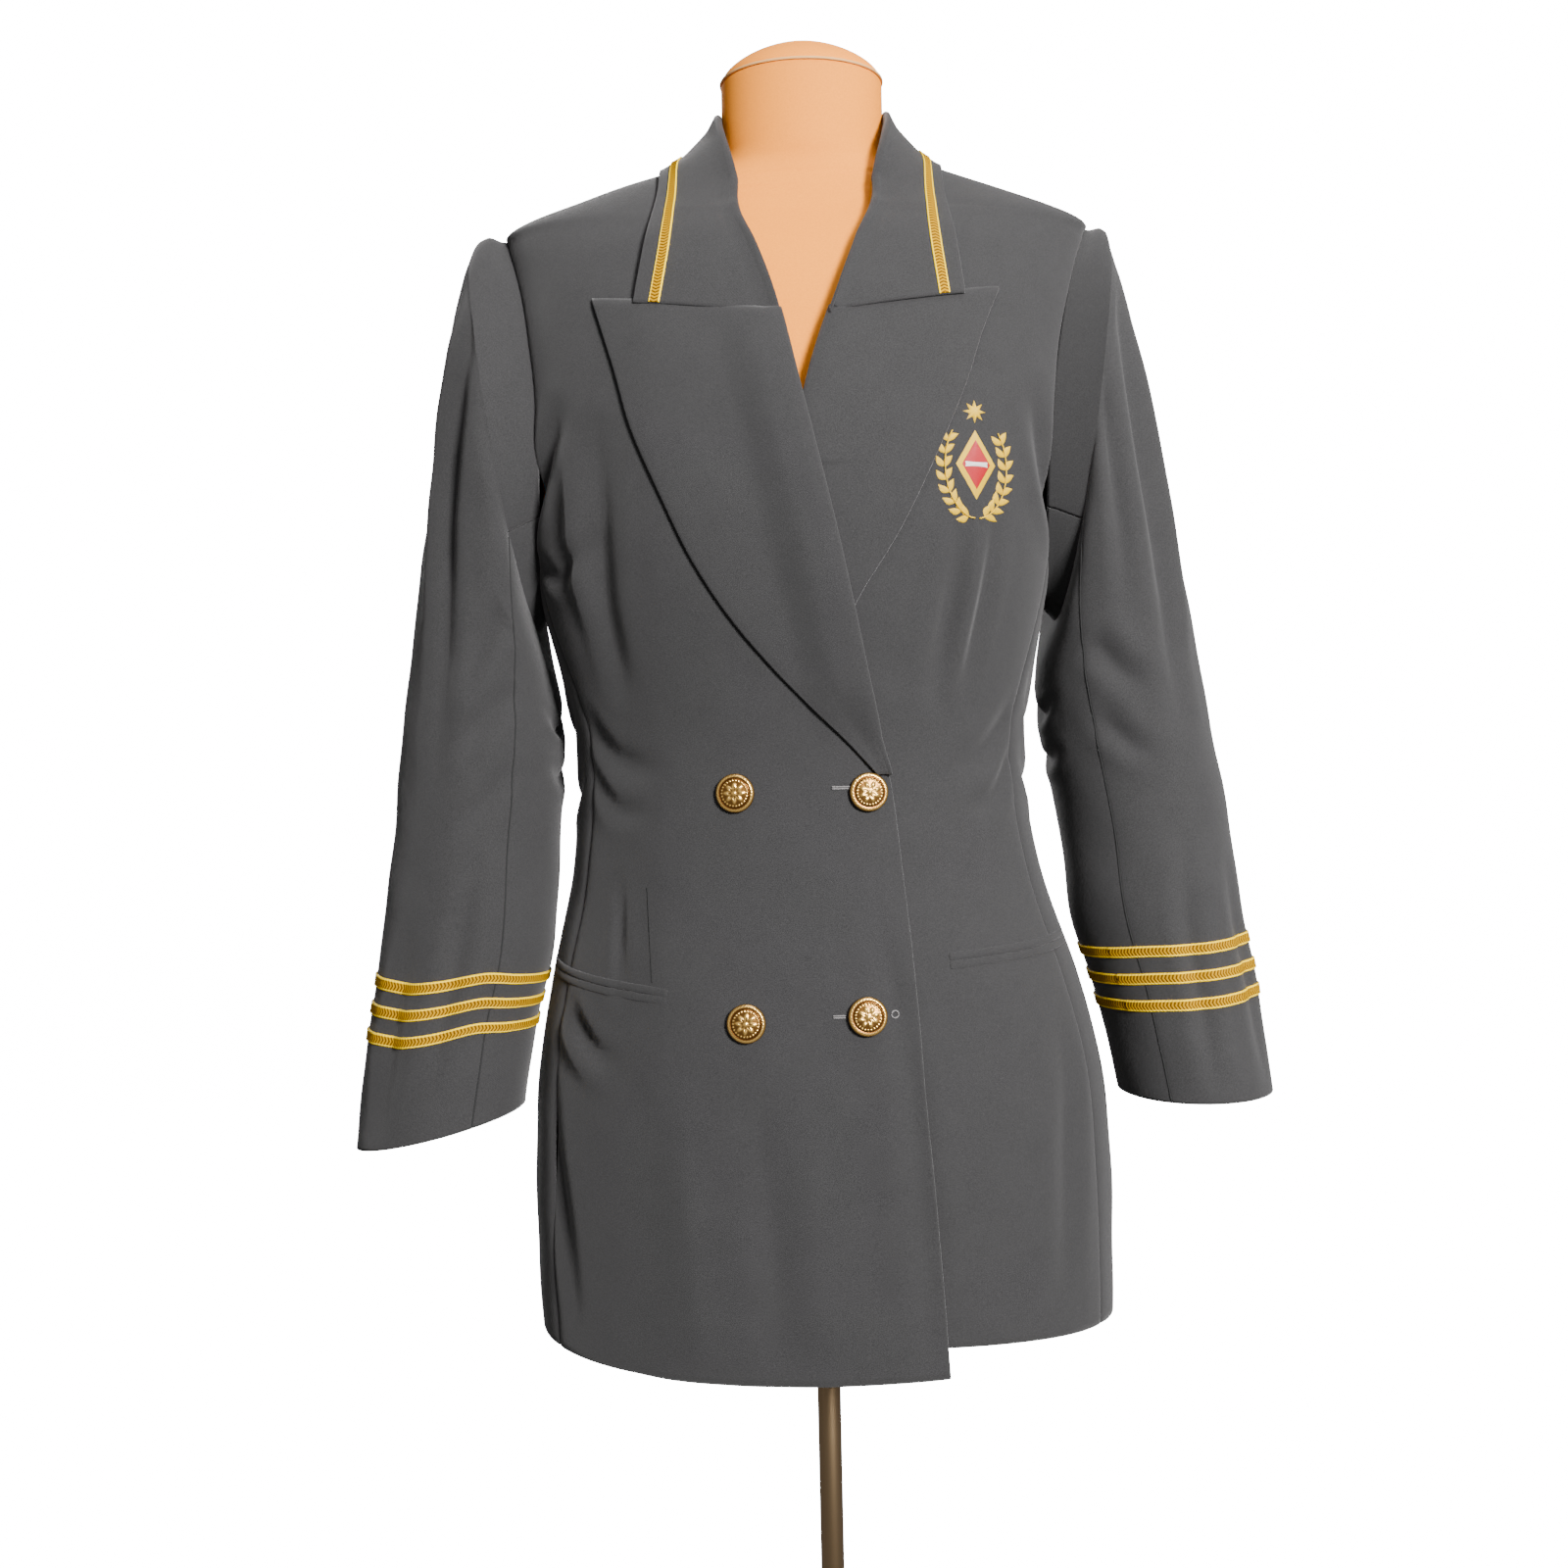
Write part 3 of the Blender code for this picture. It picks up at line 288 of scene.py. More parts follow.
def set_in(fine, side, low, high):
    """An edge table moved in above the break, to leave room for the lapel's rolled edge."""
    moved = fine.copy()
    moved[:, 1] += side * ROLL_SET_IN * smooth(low, high, fine[:, 0])
    return moved


OVER_ROLL = set_in(FINE_OVER_EDGE, -1, 0.84, 0.87)
UNDER_ROLL = set_in(FINE_UNDER_EDGE, 1, 0.92, 0.96)


def level(z):
    """Middle x, half width, front depth, back depth and roundness of the coat at heights."""
    return [np.interp(z, FINE_LEVELS[:, 0], FINE_LEVELS[:, column]) for column in range(1, 6)]


def body_point(angle, z):
    """Points of the coat's surface: angle 0 is the middle of the front, a quarter turn is +X."""
    middle, half, front, back, power = level(z)
    across = np.sin(angle)
    along = np.cos(angle)
    reach = (np.abs(across) ** power + np.abs(along) ** power) ** (-1 / power)
    depth = np.where(along > 0, front, back)
    return np.stack((middle + half * reach * across, -depth * reach * along, z + 0 * angle), axis=-1)


def body_measure(points):
    """Below 0 inside the coat's surface and above 0 outside it."""
    middle, half, front, back, power = level(points[..., 2])
    depth = np.where(points[..., 1] < 0, front, back)
    across = np.abs(points[..., 0] - middle) / half
    along = np.abs(points[..., 1]) / depth
    return (across ** power + along ** power) ** (1 / power) - 1


def body_slope(points):
    """The gradient of body_measure."""
    step = 0.0008
    slope = np.zeros(points.shape)
    for axis in range(3):
        move = np.zeros(3)
        move[axis] = step
        slope[..., axis] = (body_measure(points + move) - body_measure(points - move)) / (2 * step)
    return slope


def unit(vectors):
    """Vectors of length 1."""
    return vectors / np.maximum(np.linalg.norm(vectors, axis=-1, keepdims=True), 1e-12)


def clear_of_body(points, distance):
    """Points moved out until they are at least this far from the coat's surface."""
    points = points.copy()
    for _ in range(5):
        slope = body_slope(points)
        size = np.maximum(np.linalg.norm(slope, axis=-1), 1e-9)
        short = np.maximum(distance - body_measure(points) / size, 0.0)
        points += slope / size[..., None] * short[..., None]
    return points


def front_point(x, z):
    """Points of the front's surface at x and z."""
    middle, half, front, _, power = level(z)
    across = np.minimum(np.abs(x - middle) / half, 0.9999)
    return np.stack((x + 0 * z, -front * (1 - across ** power) ** (1 / power), z + 0 * x), axis=-1)


def front_angle(x, z):
    """The angle of the front's points at x and z."""
    middle, half, front, _, _ = level(z)
    point = front_point(x, z)
    return np.arctan2((point[..., 0] - middle) / half, -point[..., 1] / front)


def over_lift(x, z):
    """How far the front that laps on top lies outside the coat's surface."""
    edge = read_x(FINE_OVER_EDGE, z)
    on_front = 0.0024 * smooth(-0.125, -0.095, x) * (1 - smooth(1.10, 1.20, z))
    on_lapel = 0.0048 * smooth(edge - 0.045, edge - 0.020, x) * smooth(0.86, 0.90, z)
    return on_front + on_lapel * (1 - smooth(1.085, 1.15, z))


def armhole_angle(z):
    """How far round from the side the armhole reaches at heights."""
    middle = (SHOULDER_TIP_Z + ARMPIT_Z) / 2
    half = (SHOULDER_TIP_Z - ARMPIT_Z) / 2
    return ARMHOLE_SPREAD * np.sqrt(np.maximum(0.0, 1 - ((z - middle) / half) ** 2))


def armhole_low(angle):
    """The height of the armhole's lower edge at angles."""
    middle = (SHOULDER_TIP_Z + ARMPIT_Z) / 2
    half = (SHOULDER_TIP_Z - ARMPIT_Z) / 2
    part = (QUARTER - np.abs(angle)) / ARMHOLE_SPREAD
    return middle - half * np.sqrt(np.maximum(0.0, 1 - part * part))


def side_angle(z):
    """The angle of the seam between a front and its side panel; the back's is its mirror."""
    return SIDE_SEAM + math.radians(10) * smooth(0.86, 0.985, z)


def panel_edge(z):
    """The angle where a front ends at its side panel, the armhole or the shoulder seam."""
    low = z < armhole_low(side_angle(z))
    below = (z < 1.0) & low
    return np.where(below, side_angle(z), np.where(z < SHOULDER_TIP_Z, QUARTER - armhole_angle(z), QUARTER))


def hem_height(angle, over):
    """The hem's height: the front that laps on top hangs lower than the other."""
    side = np.sin(angle) ** 2
    at_side = np.where(angle < 0, HEM_SIDES[0], HEM_SIDES[1])
    middle = np.where(np.abs(angle) < QUARTER, HEM_OVER if over else HEM_UNDER, HEM_BACK)
    return middle + (at_side - middle) * side


def set_row(z, angle, over):
    """Heights of rows: the lower rows follow the hem."""
    hem = hem_height(angle, over)
    return np.where(z >= 0.64, z, hem + (z - 0.46) * (0.64 - hem) / (0.64 - 0.46))


def fold_depth(across, along, folds):
    """How far folds push a surface in, from each fold's width, depth and points, all in metres."""
    total = np.zeros(across.shape)
    for width, depth, points in folds:
        line = fine_rows(points, 5)
        spans = np.linalg.norm(np.diff(line, axis=0), axis=1)
        reach = np.concatenate(([0.0], np.cumsum(spans)))
        nearest = np.full(across.shape, 9.0)
        place = np.zeros(across.shape)
        for index, span in enumerate(spans):
            start = line[index]
            way = line[index + 1] - start
            part = np.clip(((across - start[0]) * way[0] + (along - start[1]) * way[1]) / span ** 2, 0, 1)
            away = np.hypot(across - start[0] - part * way[0], along - start[1] - part * way[1])
            closer = away < nearest
            nearest = np.where(closer, away, nearest)
            place = np.where(closer, (reach[index] + part * span) / reach[-1], place)
        fade = np.sin(np.pi * np.clip(place * 0.92 + 0.04, 0, 1)) ** 0.7
        narrow = width * FOLD_WIDTH
        trough = np.exp(-(nearest / narrow) ** 1.6)
        banks = np.exp(-((nearest - 1.9 * narrow) / narrow) ** 2)
        total += depth * FOLD_DEPTH * fade * (trough - 0.34 * banks)
    return total


def body_folds(surface, angle, z):
    """How far the folds of one part of the coat push its surface in."""
    rows = [(width, depth, [(math.radians(a) * BODY_RADIUS, b) for a, b in points])
            for name, width, depth, points in BODY_FOLDS if name == surface]
    return fold_depth(angle * BODY_RADIUS, z + 0 * angle, rows)


def sleeve_folds(side, turn, share):
    """How far the folds of one sleeve push its surface in."""
    total = 0
    for shift in (0.0, -2 * math.pi):
        rows = [(width, depth, [(math.radians(a) * SLEEVE_RADIUS, b * SLEEVE_LENGTH) for a, b in points])
                for name, width, depth, points in SLEEVE_FOLDS if name == side]
        total = total + fold_depth((turn + shift) * SLEEVE_RADIUS, share * SLEEVE_LENGTH + 0 * turn, rows)
    return total


def ripple(points, size, height):
    """A slight unevenness of cloth, from a few waves that don't repeat together."""
    x, y, z = (points[..., axis] / size for axis in range(3))
    waves = np.sin(1.7 * x + 0.9 * z + 1.3) * np.sin(1.1 * z - 0.6 * x + 2.0 * y)
    waves += 0.6 * np.sin(2.9 * x - 1.4 * z + 0.4) * np.cos(2.3 * z + 1.9 * y)
    waves += 0.35 * np.sin(4.3 * z + 3.1 * x - 2.2 * y)
    return height * waves


def add_mesh(name, points, quads, uv=None, smooth_faces=True):
    """A mesh object from points and faces, with the cloth's own measure as its UV map."""
    mesh = bpy.data.meshes.new(name)
    mesh.from_pydata(points, [], quads)
    if uv is not None:
        layer = mesh.uv_layers.new(name="cloth")
        loops = np.zeros(len(mesh.loops), dtype=np.int32)
        mesh.loops.foreach_get("vertex_index", loops)
        layer.data.foreach_set("uv", np.asarray(uv, dtype=np.float32)[loops].ravel())
    if smooth_faces:
        mesh.shade_smooth()
    item = bpy.data.objects.new(name, mesh)
    bpy.context.scene.collection.objects.link(item)
    return item


def grid_normals(grid):
    """The normal at each point of a grid of points."""
    across = np.gradient(grid, axis=1)
    along = np.gradient(grid, axis=0)
    return unit(np.cross(across, along))


def grid_measure(grid):
    """Distances across and along a grid, in metres, for its UV map."""
    across = np.linalg.norm(np.diff(grid, axis=1), axis=-1).mean(axis=0)
    along = np.linalg.norm(np.diff(grid, axis=0), axis=-1).mean(axis=1)
    u = np.concatenate(([0.0], np.cumsum(across)))
    v = np.concatenate(([0.0], np.cumsum(along)))
    return np.stack(np.meshgrid(u, v), axis=-1)


def sheet_area(grid):
    """The area of a grid of points, and its mean width and length."""
    a = grid[1:, 1:] - grid[:-1, :-1]
    b = grid[1:, :-1] - grid[:-1, 1:]
    area = 0.5 * np.linalg.norm(np.cross(a, b), axis=-1).sum()
    measure = grid_measure(grid)
    width, length = measure[-1, -1]
    return float(area), float(width), float(length)


def shell(name, grid, material, thick=CLOTH, normals=None):
    """A thin shell with rounded edges: the grid is its face, and its back lies its thickness behind."""
    if normals is None:
        normals = grid_normals(grid)
    rows, columns = grid.shape[:2]
    back = grid - normals * thick
    uv = grid_measure(grid)
    points = np.concatenate((grid.reshape(-1, 3), back.reshape(-1, 3)))
    places = np.concatenate((uv.reshape(-1, 2), uv.reshape(-1, 2)))
    index = np.arange(rows * columns).reshape(rows, columns)
    a, b = index[:-1, :-1].ravel(), index[:-1, 1:].ravel()
    c, d = index[1:, 1:].ravel(), index[1:, :-1].ravel()
    behind = rows * columns
    faces = np.concatenate((np.stack((a, b, c, d), 1), np.stack((d, c, b, a), 1) + behind))
    ring = np.concatenate((index[0], index[1:, -1], index[-1, :-1][::-1], index[1:-1, 0][::-1]))
    face_side, back_side = points[ring], points[ring + behind]
    step = np.roll(face_side, -1, axis=0) - np.roll(face_side, 1, axis=0)
    out = unit(np.cross(step, face_side - back_side))
    after = (np.arange(len(ring)) + 1) % len(ring)
    new = 2 * behind + np.arange(len(ring))
    rims = (np.stack((ring[after], ring, new, 2 * behind + after), 1),
            np.stack((2 * behind + after, new, ring + behind, ring[after] + behind), 1))
    points = np.concatenate((points, (face_side + back_side) / 2 + out * thick * 0.35))
    places = np.concatenate((places, places[ring]))
    faces = np.concatenate((faces,) + rims)
    item = add_mesh(name, points.tolist(), faces.tolist(), places)
    item.data.materials.append(material)
    return item


def register(item, replaced=()):
    """Makes a piece ride on the body and hides the solids that it stands for."""
    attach(item, BODY)
    if replaced:
        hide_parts(*replaced)
    return item


def cloth(grid):
    """Measures how big a piece's grid is when flat; nothing is done with the numbers."""
    area, width, length = sheet_area(grid)
    length = max(length, SEWN_WIDTH)


def row_heights(low_step=0.005):
    """The heights of a panel's rows, closer together over the shoulder."""
    low = np.arange(0.46, 1.15, low_step)
    middle = np.arange(1.15, 1.2085, 0.003)
    high = np.linspace(1.2085, NECK_Z, 27)
    return np.concatenate((low, middle, high))


def eased(count, edge=0.02):
    """Shares from 0 to 1 across a panel, closer together at both edges."""
    inner = np.linspace(edge, 1 - edge, count - 6)
    return np.concatenate(([0, edge * 0.22, edge * 0.55], inner, [1 - edge * 0.55, 1 - edge * 0.22, 1]))


def seam_dip(shares, width, left=True, right=True):
    """How far the cloth sinks beside its seams."""
    away_left = shares * width
    away_right = (1 - shares) * width
    dip = np.zeros(np.broadcast(shares, width).shape)
    if left:
        dip = dip + 0.0010 * np.exp(-away_left / 0.0022)
    if right:
        dip = dip + 0.0010 * np.exp(-away_right / 0.0022)
    return dip


def panel_grid(inner, outer, rows, shares, over, surface, lift=None, seams=(True, True)):
    """The grid of one panel between two edges given as angles for each row."""
    angle = inner[:, None] + (outer - inner)[:, None] * shares[None, :]
    z = set_row(rows[:, None] + 0 * angle, angle, over)
    base = body_point(angle, z)
    slopes = unit(body_slope(base))
    raised = lift(base[..., 0], base[..., 2]) if lift else 0.0
    sunk = body_folds(surface, angle, z) + ripple(base, 0.045, 0.00045)
    width = np.abs(outer - inner)[:, None] * BODY_RADIUS
    sunk = sunk + seam_dip(shares[None, :], width, *seams)
    return base + slopes * (raised - sunk)[..., None], slopes


def make_fronts(wool):
    """The two fronts."""
    rows = row_heights()
    grids = {}
    for name, sign, fine, over in (
            ("front_right_over", -1, OVER_ROLL, True),
            ("front_left_under", 1, UNDER_ROLL, False)):
        inner = front_angle(read_x(fine, rows), rows)
        outer = sign * (panel_edge(rows) - SEAM_ANGLE / 3)
        seams = (False, True)
        grid, slopes = panel_grid(inner, outer, rows, eased(84), over, "front",
                                  over_lift if over else None, seams)
        if sign < 0:
            grid, slopes = grid[:, ::-1], slopes[:, ::-1]
        item = shell(name.replace("front", "front_cloth"), grid, wool, normals=slopes)
        register(item, (name,))
        cloth(grid)
        grids[sign] = grid
    return grids


def make_backs(wool):
    """The two backs, with the centre back seam between them."""
    rows = row_heights()
    for name, sign in (("back_right", -1), ("back_left", 1)):
        inner = sign * (math.pi - SEAM_ANGLE / 3) + 0 * rows
        outer = sign * (math.pi - panel_edge(rows) + SEAM_ANGLE / 3)
        grid, slopes = panel_grid(inner, outer, rows, eased(72), False, "back")
        if sign > 0:
            grid, slopes = grid[:, ::-1], slopes[:, ::-1]
        item = shell(name.replace("back", "back_cloth"), grid, wool, normals=slopes)
        register(item, (name,))
        cloth(grid)


def make_sides(wool):
    """The two side panels."""
    rows = np.arange(0.46, 0.9851, 0.005)
    for name, sign in (("side_panel_right", -1), ("side_panel_left", 1)):
        shares = eased(34)
        front = side_angle(rows) + SEAM_ANGLE / 3
        angle = front[:, None] + (math.pi - 2 * front)[:, None] * shares[None, :]
        top = float(armhole_low(side_angle(0.985)))
        z = set_row(rows[:, None] + 0 * angle, sign * angle, sign < 0)
        z = z + (np.minimum(armhole_low(angle), top) - 0.985) * smooth(0.70, 0.985, rows)[:, None]
        base = body_point(sign * angle, z)
        slopes = unit(body_slope(base))
        sunk = body_folds("side", sign * angle, z) + ripple(base, 0.045, 0.00045)
        sunk = sunk + seam_dip(shares[None, :], (math.pi - 2 * front)[:, None] * BODY_RADIUS)
        grid = base - slopes * sunk[..., None]
        if sign < 0:
            grid, slopes = grid[:, ::-1], slopes[:, ::-1]
        item = shell(name.replace("panel", "cloth"), grid, wool, normals=slopes)
        register(item, (name,))
        cloth(grid)


def armhole_point(turn, sign):
    """Points of the armhole: turn 0 is the shoulder tip, a quarter turn the front, half the armpit."""
    middle = (SHOULDER_TIP_Z + ARMPIT_Z) / 2
    half = (SHOULDER_TIP_Z - ARMPIT_Z) / 2
    z = middle + half * np.cos(turn)
    angle = QUARTER - ARMHOLE_SPREAD * np.sin(turn)
    return body_point(sign * angle, z)


def sleeve_base(rows, sign):
    """A function of turn and share that gives a sleeve's smooth surface."""
    fine = fine_rows(rows, 8)
    places = np.linspace(0, 1, len(fine))

    def surface(turn, share):
        share = share + 0 * turn
        section = [np.interp(np.maximum(share, 0.0), places, fine[:, column]) for column in range(6)]
        outer = np.stack((section[0], section[4], section[1]), axis=-1)
        inner = np.stack((section[2], section[4], section[3]), axis=-1)
        middle = (outer + inner) / 2
        point = middle + (outer - middle) * np.cos(turn)[..., None]
        point[..., 1] -= section[5] * np.sin(turn)
        start = armhole_point(turn, sign)
        way = np.clip(-share / CAP_SHARE, 0, 1)[..., None]
        part = way * way * (1.4 - 0.4 * way)
        point = point + (start - point) * part
        upper = np.maximum(np.cos(turn), 0.0)[..., None] ** 2
        full = smooth(0.0, 0.60, way) * (1 - smooth(0.72, 1.0, way))
        point = point + np.array((sign * 0.0030, 0.0, 0.0074 if sign < 0 else 0.0052)) * upper * full
        if sign > 0:
            wide = (1 - smooth(0.0, 0.16, share))[..., None] * (1 - smooth(0.55, 1.0, way))
            point = point + np.array((0.0034, 0.0, 0.0)) * upper * wide
        return point - unit(body_slope(start)) * TUCKED * smooth(0.90, 1.0, way)

    return surface


def sleeve_normals(surface, turn, share, sign):
    """The directions straight out of a sleeve's surface."""
    step = 0.003
    around = surface(turn + step, share) - surface(turn - step, share)
    along = surface(turn, np.minimum(share + step, 1.0)) - surface(turn, np.maximum(share - step, -CAP_SHARE))
    return unit(np.cross(along, around)) * -sign


def sleeve_skin(surface, side, sign, turn, share):
    """Points and normals of a sleeve's folded surface."""
    base = surface(turn, share)
    normals = sleeve_normals(surface, turn, share, sign)
    sunk = sleeve_folds(side, turn, share) * smooth(-0.02, 0.06, share)
    sunk = sunk + ripple(base, 0.038, 0.0006) * smooth(-0.03, 0.05, share)
    skin = base - normals * sunk[..., None]
    outside = clear_of_body(skin, SLEEVE_CLEAR)
    return skin + (outside - skin) * smooth(0.02, 0.10, share)[..., None], normals


def make_sleeves(wool):
    """The sleeves, each of a top and an under piece."""
    skins = {}
    for side, sign, rows in (("right", -1, SLEEVE_RIGHT), ("left", 1, SLEEVE_LEFT)):
        surface = sleeve_base(rows, sign)
        skins[side] = surface
        shares = np.concatenate((np.linspace(-CAP_SHARE, 0.0, 26)[:-1], np.linspace(0.0, 1.0, 140)))
        for piece, first, last, count in (
                ("top_sleeve", -SLEEVE_SEAM, SLEEVE_SEAM, 88),
                ("under_sleeve", SLEEVE_SEAM, 2 * math.pi - SLEEVE_SEAM, 44)):
            part = eased(count)
            turn = first + (last - first) * part
            turns, lengths = np.meshgrid(turn, shares)
            grid, normals = sleeve_skin(surface, side, sign, turns, lengths)
            dip = 0.35 * seam_dip(part[None, :], (last - first) * SLEEVE_RADIUS)
            grid = grid - normals * dip[..., None]
            if sign > 0:
                grid, normals = grid[::-1], normals[::-1]
            item = shell(f"{piece}_cloth_{side}", grid, wool, normals=normals)
            register(item, (f"{piece}_{side}",))
            cloth(grid)
        # Along each sleeve seam a thin near-black tube: painted shade in the seam's groove.
        for place, turn in (("front", SLEEVE_SEAM), ("back", -SLEEVE_SEAM)):
            lengths = np.linspace(0.03, 0.995, 200)
            line, normals = sleeve_skin(surface, side, sign, turn + 0 * lengths, lengths)
            tube(f"sleeve_seam_shade_{side}_{place}", line - normals * 0.0003, 0.0006, seam_shade_line)
    return skins


def on_front(grid, x, z):
    """Points of a front's own grid at x and z, and the normals there."""
    shape = np.broadcast(x, z).shape
    x = np.broadcast_to(x, shape).ravel()
    z = np.broadcast_to(z, shape).ravel()
    heights = grid[:, grid.shape[1] // 2, 2]
    row = np.clip(np.searchsorted(heights, z) - 1, 0, len(heights) - 2)
    part = np.clip((z - heights[row]) / (heights[row + 1] - heights[row]), 0, 1)
    depths = np.empty(len(x))
    for number in np.unique(row):
        chosen = row == number
        low = np.interp(x[chosen], grid[number, :, 0], grid[number, :, 1])
        high = np.interp(x[chosen], grid[number + 1, :, 0], grid[number + 1, :, 1])
        depths[chosen] = low + (high - low) * part[chosen]
    points = np.stack((x, depths, z), axis=-1).reshape(shape + (3,))
    return points, unit(body_slope(front_point(x, z))).reshape(shape + (3,))


def make_lapels(wool, grids):
    """The turned-back lapels, each rolling over its front's edge and lying flat on the front."""
    for name, sign, edge, free, low, hidden in (
            ("lapel_right", -1, OVER_ROLL, FINE_OVER_LAPEL, 0.845, None),
            ("lapel_left", 1, UNDER_ROLL, FINE_UNDER_LAPEL, 0.925, OVER_ROLL)):
        top_roll, top_peak = LAPEL_TOPS[sign]
        lines = []
        for part in np.linspace(0, 1, 120):
            height = low + (top_roll - low) * part
            rise = (top_peak - top_roll) * part
            start = float(read_x(edge, height))
            end = float(read_x(free, height + rise))
            size = min(1.0, abs(end - start) / 0.03)
            bulge = 0.0024
            turns = np.radians(np.linspace(-70, 80, 10))
            out = 0.0006 + 0.0030 * np.cos(turns) * (0.4 + 0.6 * size)
            high = 0.0022 + 0.0026 * np.sin(turns)
            if hidden is not None and read_x(hidden, height) - 0.014 > start:
                start = float(read_x(hidden, height)) - 0.014
                out = -np.linspace(0.0005, 0.004, 10)
                high = 0.0030 + 0 * turns
                bulge = 0.0004
            share = np.linspace(0.06, 1.0, 46)
            x = np.concatenate((start + 0 * out, start + (end - start) * share))
            z = np.concatenate((height + 0 * out, height + rise * share))
            points, slopes = on_front(grids[sign], x, z)
            leaf = 0.0027 + bulge * size * (1 - smooth(0.0, 0.55, share)) + 0.0006 * share
            leaf = leaf - 0.0004 * np.exp(-((1 - share) * abs(end - start) / 0.004) ** 2)
            leaf = leaf - (0.0011 + bulge * 0.5 * (1 - share)) * smooth(top_roll - 0.004, top_roll, height)
            raised = np.concatenate((high, leaf))
            points = points + slopes * raised[:, None]
            points[:len(out), 0] -= sign * out
            lines.append(points)
        grid = np.array(lines)
        if sign < 0:
            grid = grid[:, ::-1]
        item = shell(name + "_cloth", grid, wool, thick=0.0015)
        register(item, (name,))
        cloth(grid)


def settle(points, distance):
    """Collar points, clear of the coat; above the neck seam they are free."""
    free = smooth(NECK_Z + 0.001, NECK_Z + 0.010, points[..., 2])
    moved = clear_of_body(points, distance - (distance + 0.008) * free)
    return np.where((free >= 1)[..., None], points, moved)


def collar_line(station):
    """The collar at a station from -1, its right end, to 1: fold, outer edge and seam points."""
    side = -1 if station < 0 else 1
    front = min(1.0, max(0.0, (abs(station) - BACK_SHARE) / (1 - BACK_SHARE)))
    if abs(station) <= BACK_SHARE:
        turn = QUARTER * abs(station) / BACK_SHARE
        across, along = side * math.sin(turn), math.cos(turn)
        fold = np.array((0.0572 * across, 0.0620 * along, 1.2900 - 0.0010 * along))
        outer = np.array((abs(COLLAR_OUTER_X[side][0]) * across, 0.092 * along, 1.2495 - 0.006 * along))
        seam = np.array((0.0660 * across, 0.063 * along, NECK_Z + 0.007))
        return fold, outer, seam
    edge = OVER_ROLL if side < 0 else UNDER_ROLL
    end_z = COLLAR_END_Z[side]
    if front < COLLAR_NECK[-1][0]:
        place = fine_rows(COLLAR_NECK, 8)
        fold = np.array([np.interp(front, place[:, 0], place[:, column]) for column in (1, 2, 3)])
        fold[0] *= side
    else:
        part = (front - COLLAR_NECK[-1][0]) / (1 - COLLAR_NECK[-1][0])
        fold_z = COLLAR_NECK[-1][3] + (end_z - COLLAR_NECK[-1][3]) * part
        fold_x = side * COLLAR_NECK[-1][1]
        on_edge = float(read_x(edge, fold_z)) + side * 0.0005
        fold_x += (on_edge - fold_x) * float(smooth(0.0, 0.5, part))
        fold = front_point(np.array(fold_x), np.array(fold_z))
        fold[1] -= 0.0045
    bend = float(smooth(0.0, 0.38, front))
    fold = settle(fold, 0.0040)
    outer_z = 1.2495 + (end_z + GORGE_RISE[side] - 1.2495) * front
    ends = COLLAR_OUTER_X[side]
    outer_x = ends[0] + (ends[1] - ends[0]) * front
    outer = front_point(np.array(outer_x), np.array(min(outer_z, 1.25)))
    outer = np.array((outer[0], outer[1] * float(smooth(0.0, 0.12, front)), outer_z))
    reach = 0.007 + 0.020 * (1 - float(smooth(0.0, 0.5, front)))
    seam = fold + np.array((side * 0.006 * (1 - bend), 0.0, -reach)) * (1 - bend * 0.75)
    return fold, outer, seam


def collar_grid(count):
    """Rows across the collar for each station, from the outer edge over the fold to the seam."""
    lines = []
    shares = np.linspace(1.0, 0.15, 26)
    stations = np.linspace(-1.0, 1.0, count)
    over_shoulder = 1 - smooth(0.60, 0.80, np.abs(stations))
    clear = COLLAR_HIGH - COLLAR_SINK * over_shoulder[:, None] * smooth(0.60, 1.0, shares)[None, :]
    for number, station in enumerate(stations):
        fold, outer, seam = collar_line(station)
        away = outer - fold
        flat = unit(np.array((away[0], away[1], 0.0)))
        leaf = fold + away * shares[:, None] + flat * (0.0035 * np.sin(math.pi * shares))[:, None]
        leaf = settle(leaf, clear[number])
        turns = np.radians(np.linspace(15, 165, 9))
        top = np.array((0.0, 0.0, 1.0))
        arc = fold + flat * (0.0030 * np.cos(turns))[:, None] + top * (0.0032 * np.sin(turns))[:, None]
        down = np.linspace(0.25, 1.0, 8)[:, None]
        stand = settle(fold + (seam - fold) * down - flat * 0.0027, 0.0028)
        lines.append(np.concatenate((leaf, arc, stand)))
    grid = np.array(lines)
    for _ in range(40):
        leaf = grid[:, :26].copy()
        leaf[1:-1, 1:-1] += 0.2 * (leaf[2:, 1:-1] + leaf[:-2, 1:-1] + leaf[1:-1, 2:] + leaf[1:-1, :-2]
                                   - 4 * leaf[1:-1, 1:-1])
        leaf[1:-1, 0] += 0.3 * (leaf[2:, 0] + leaf[:-2, 0] - 2 * leaf[1:-1, 0])
        grid[:, :26] = settle(leaf, clear)
    return grid


def make_collar(wool):
    """The collar: one cloth that stands from the neck seam and falls over its fold."""
    grid = collar_grid(240)
    item = shell("collar_cloth", grid, wool, thick=0.0015)
    register(item, ("collar",))
    cloth(grid)
    return grid


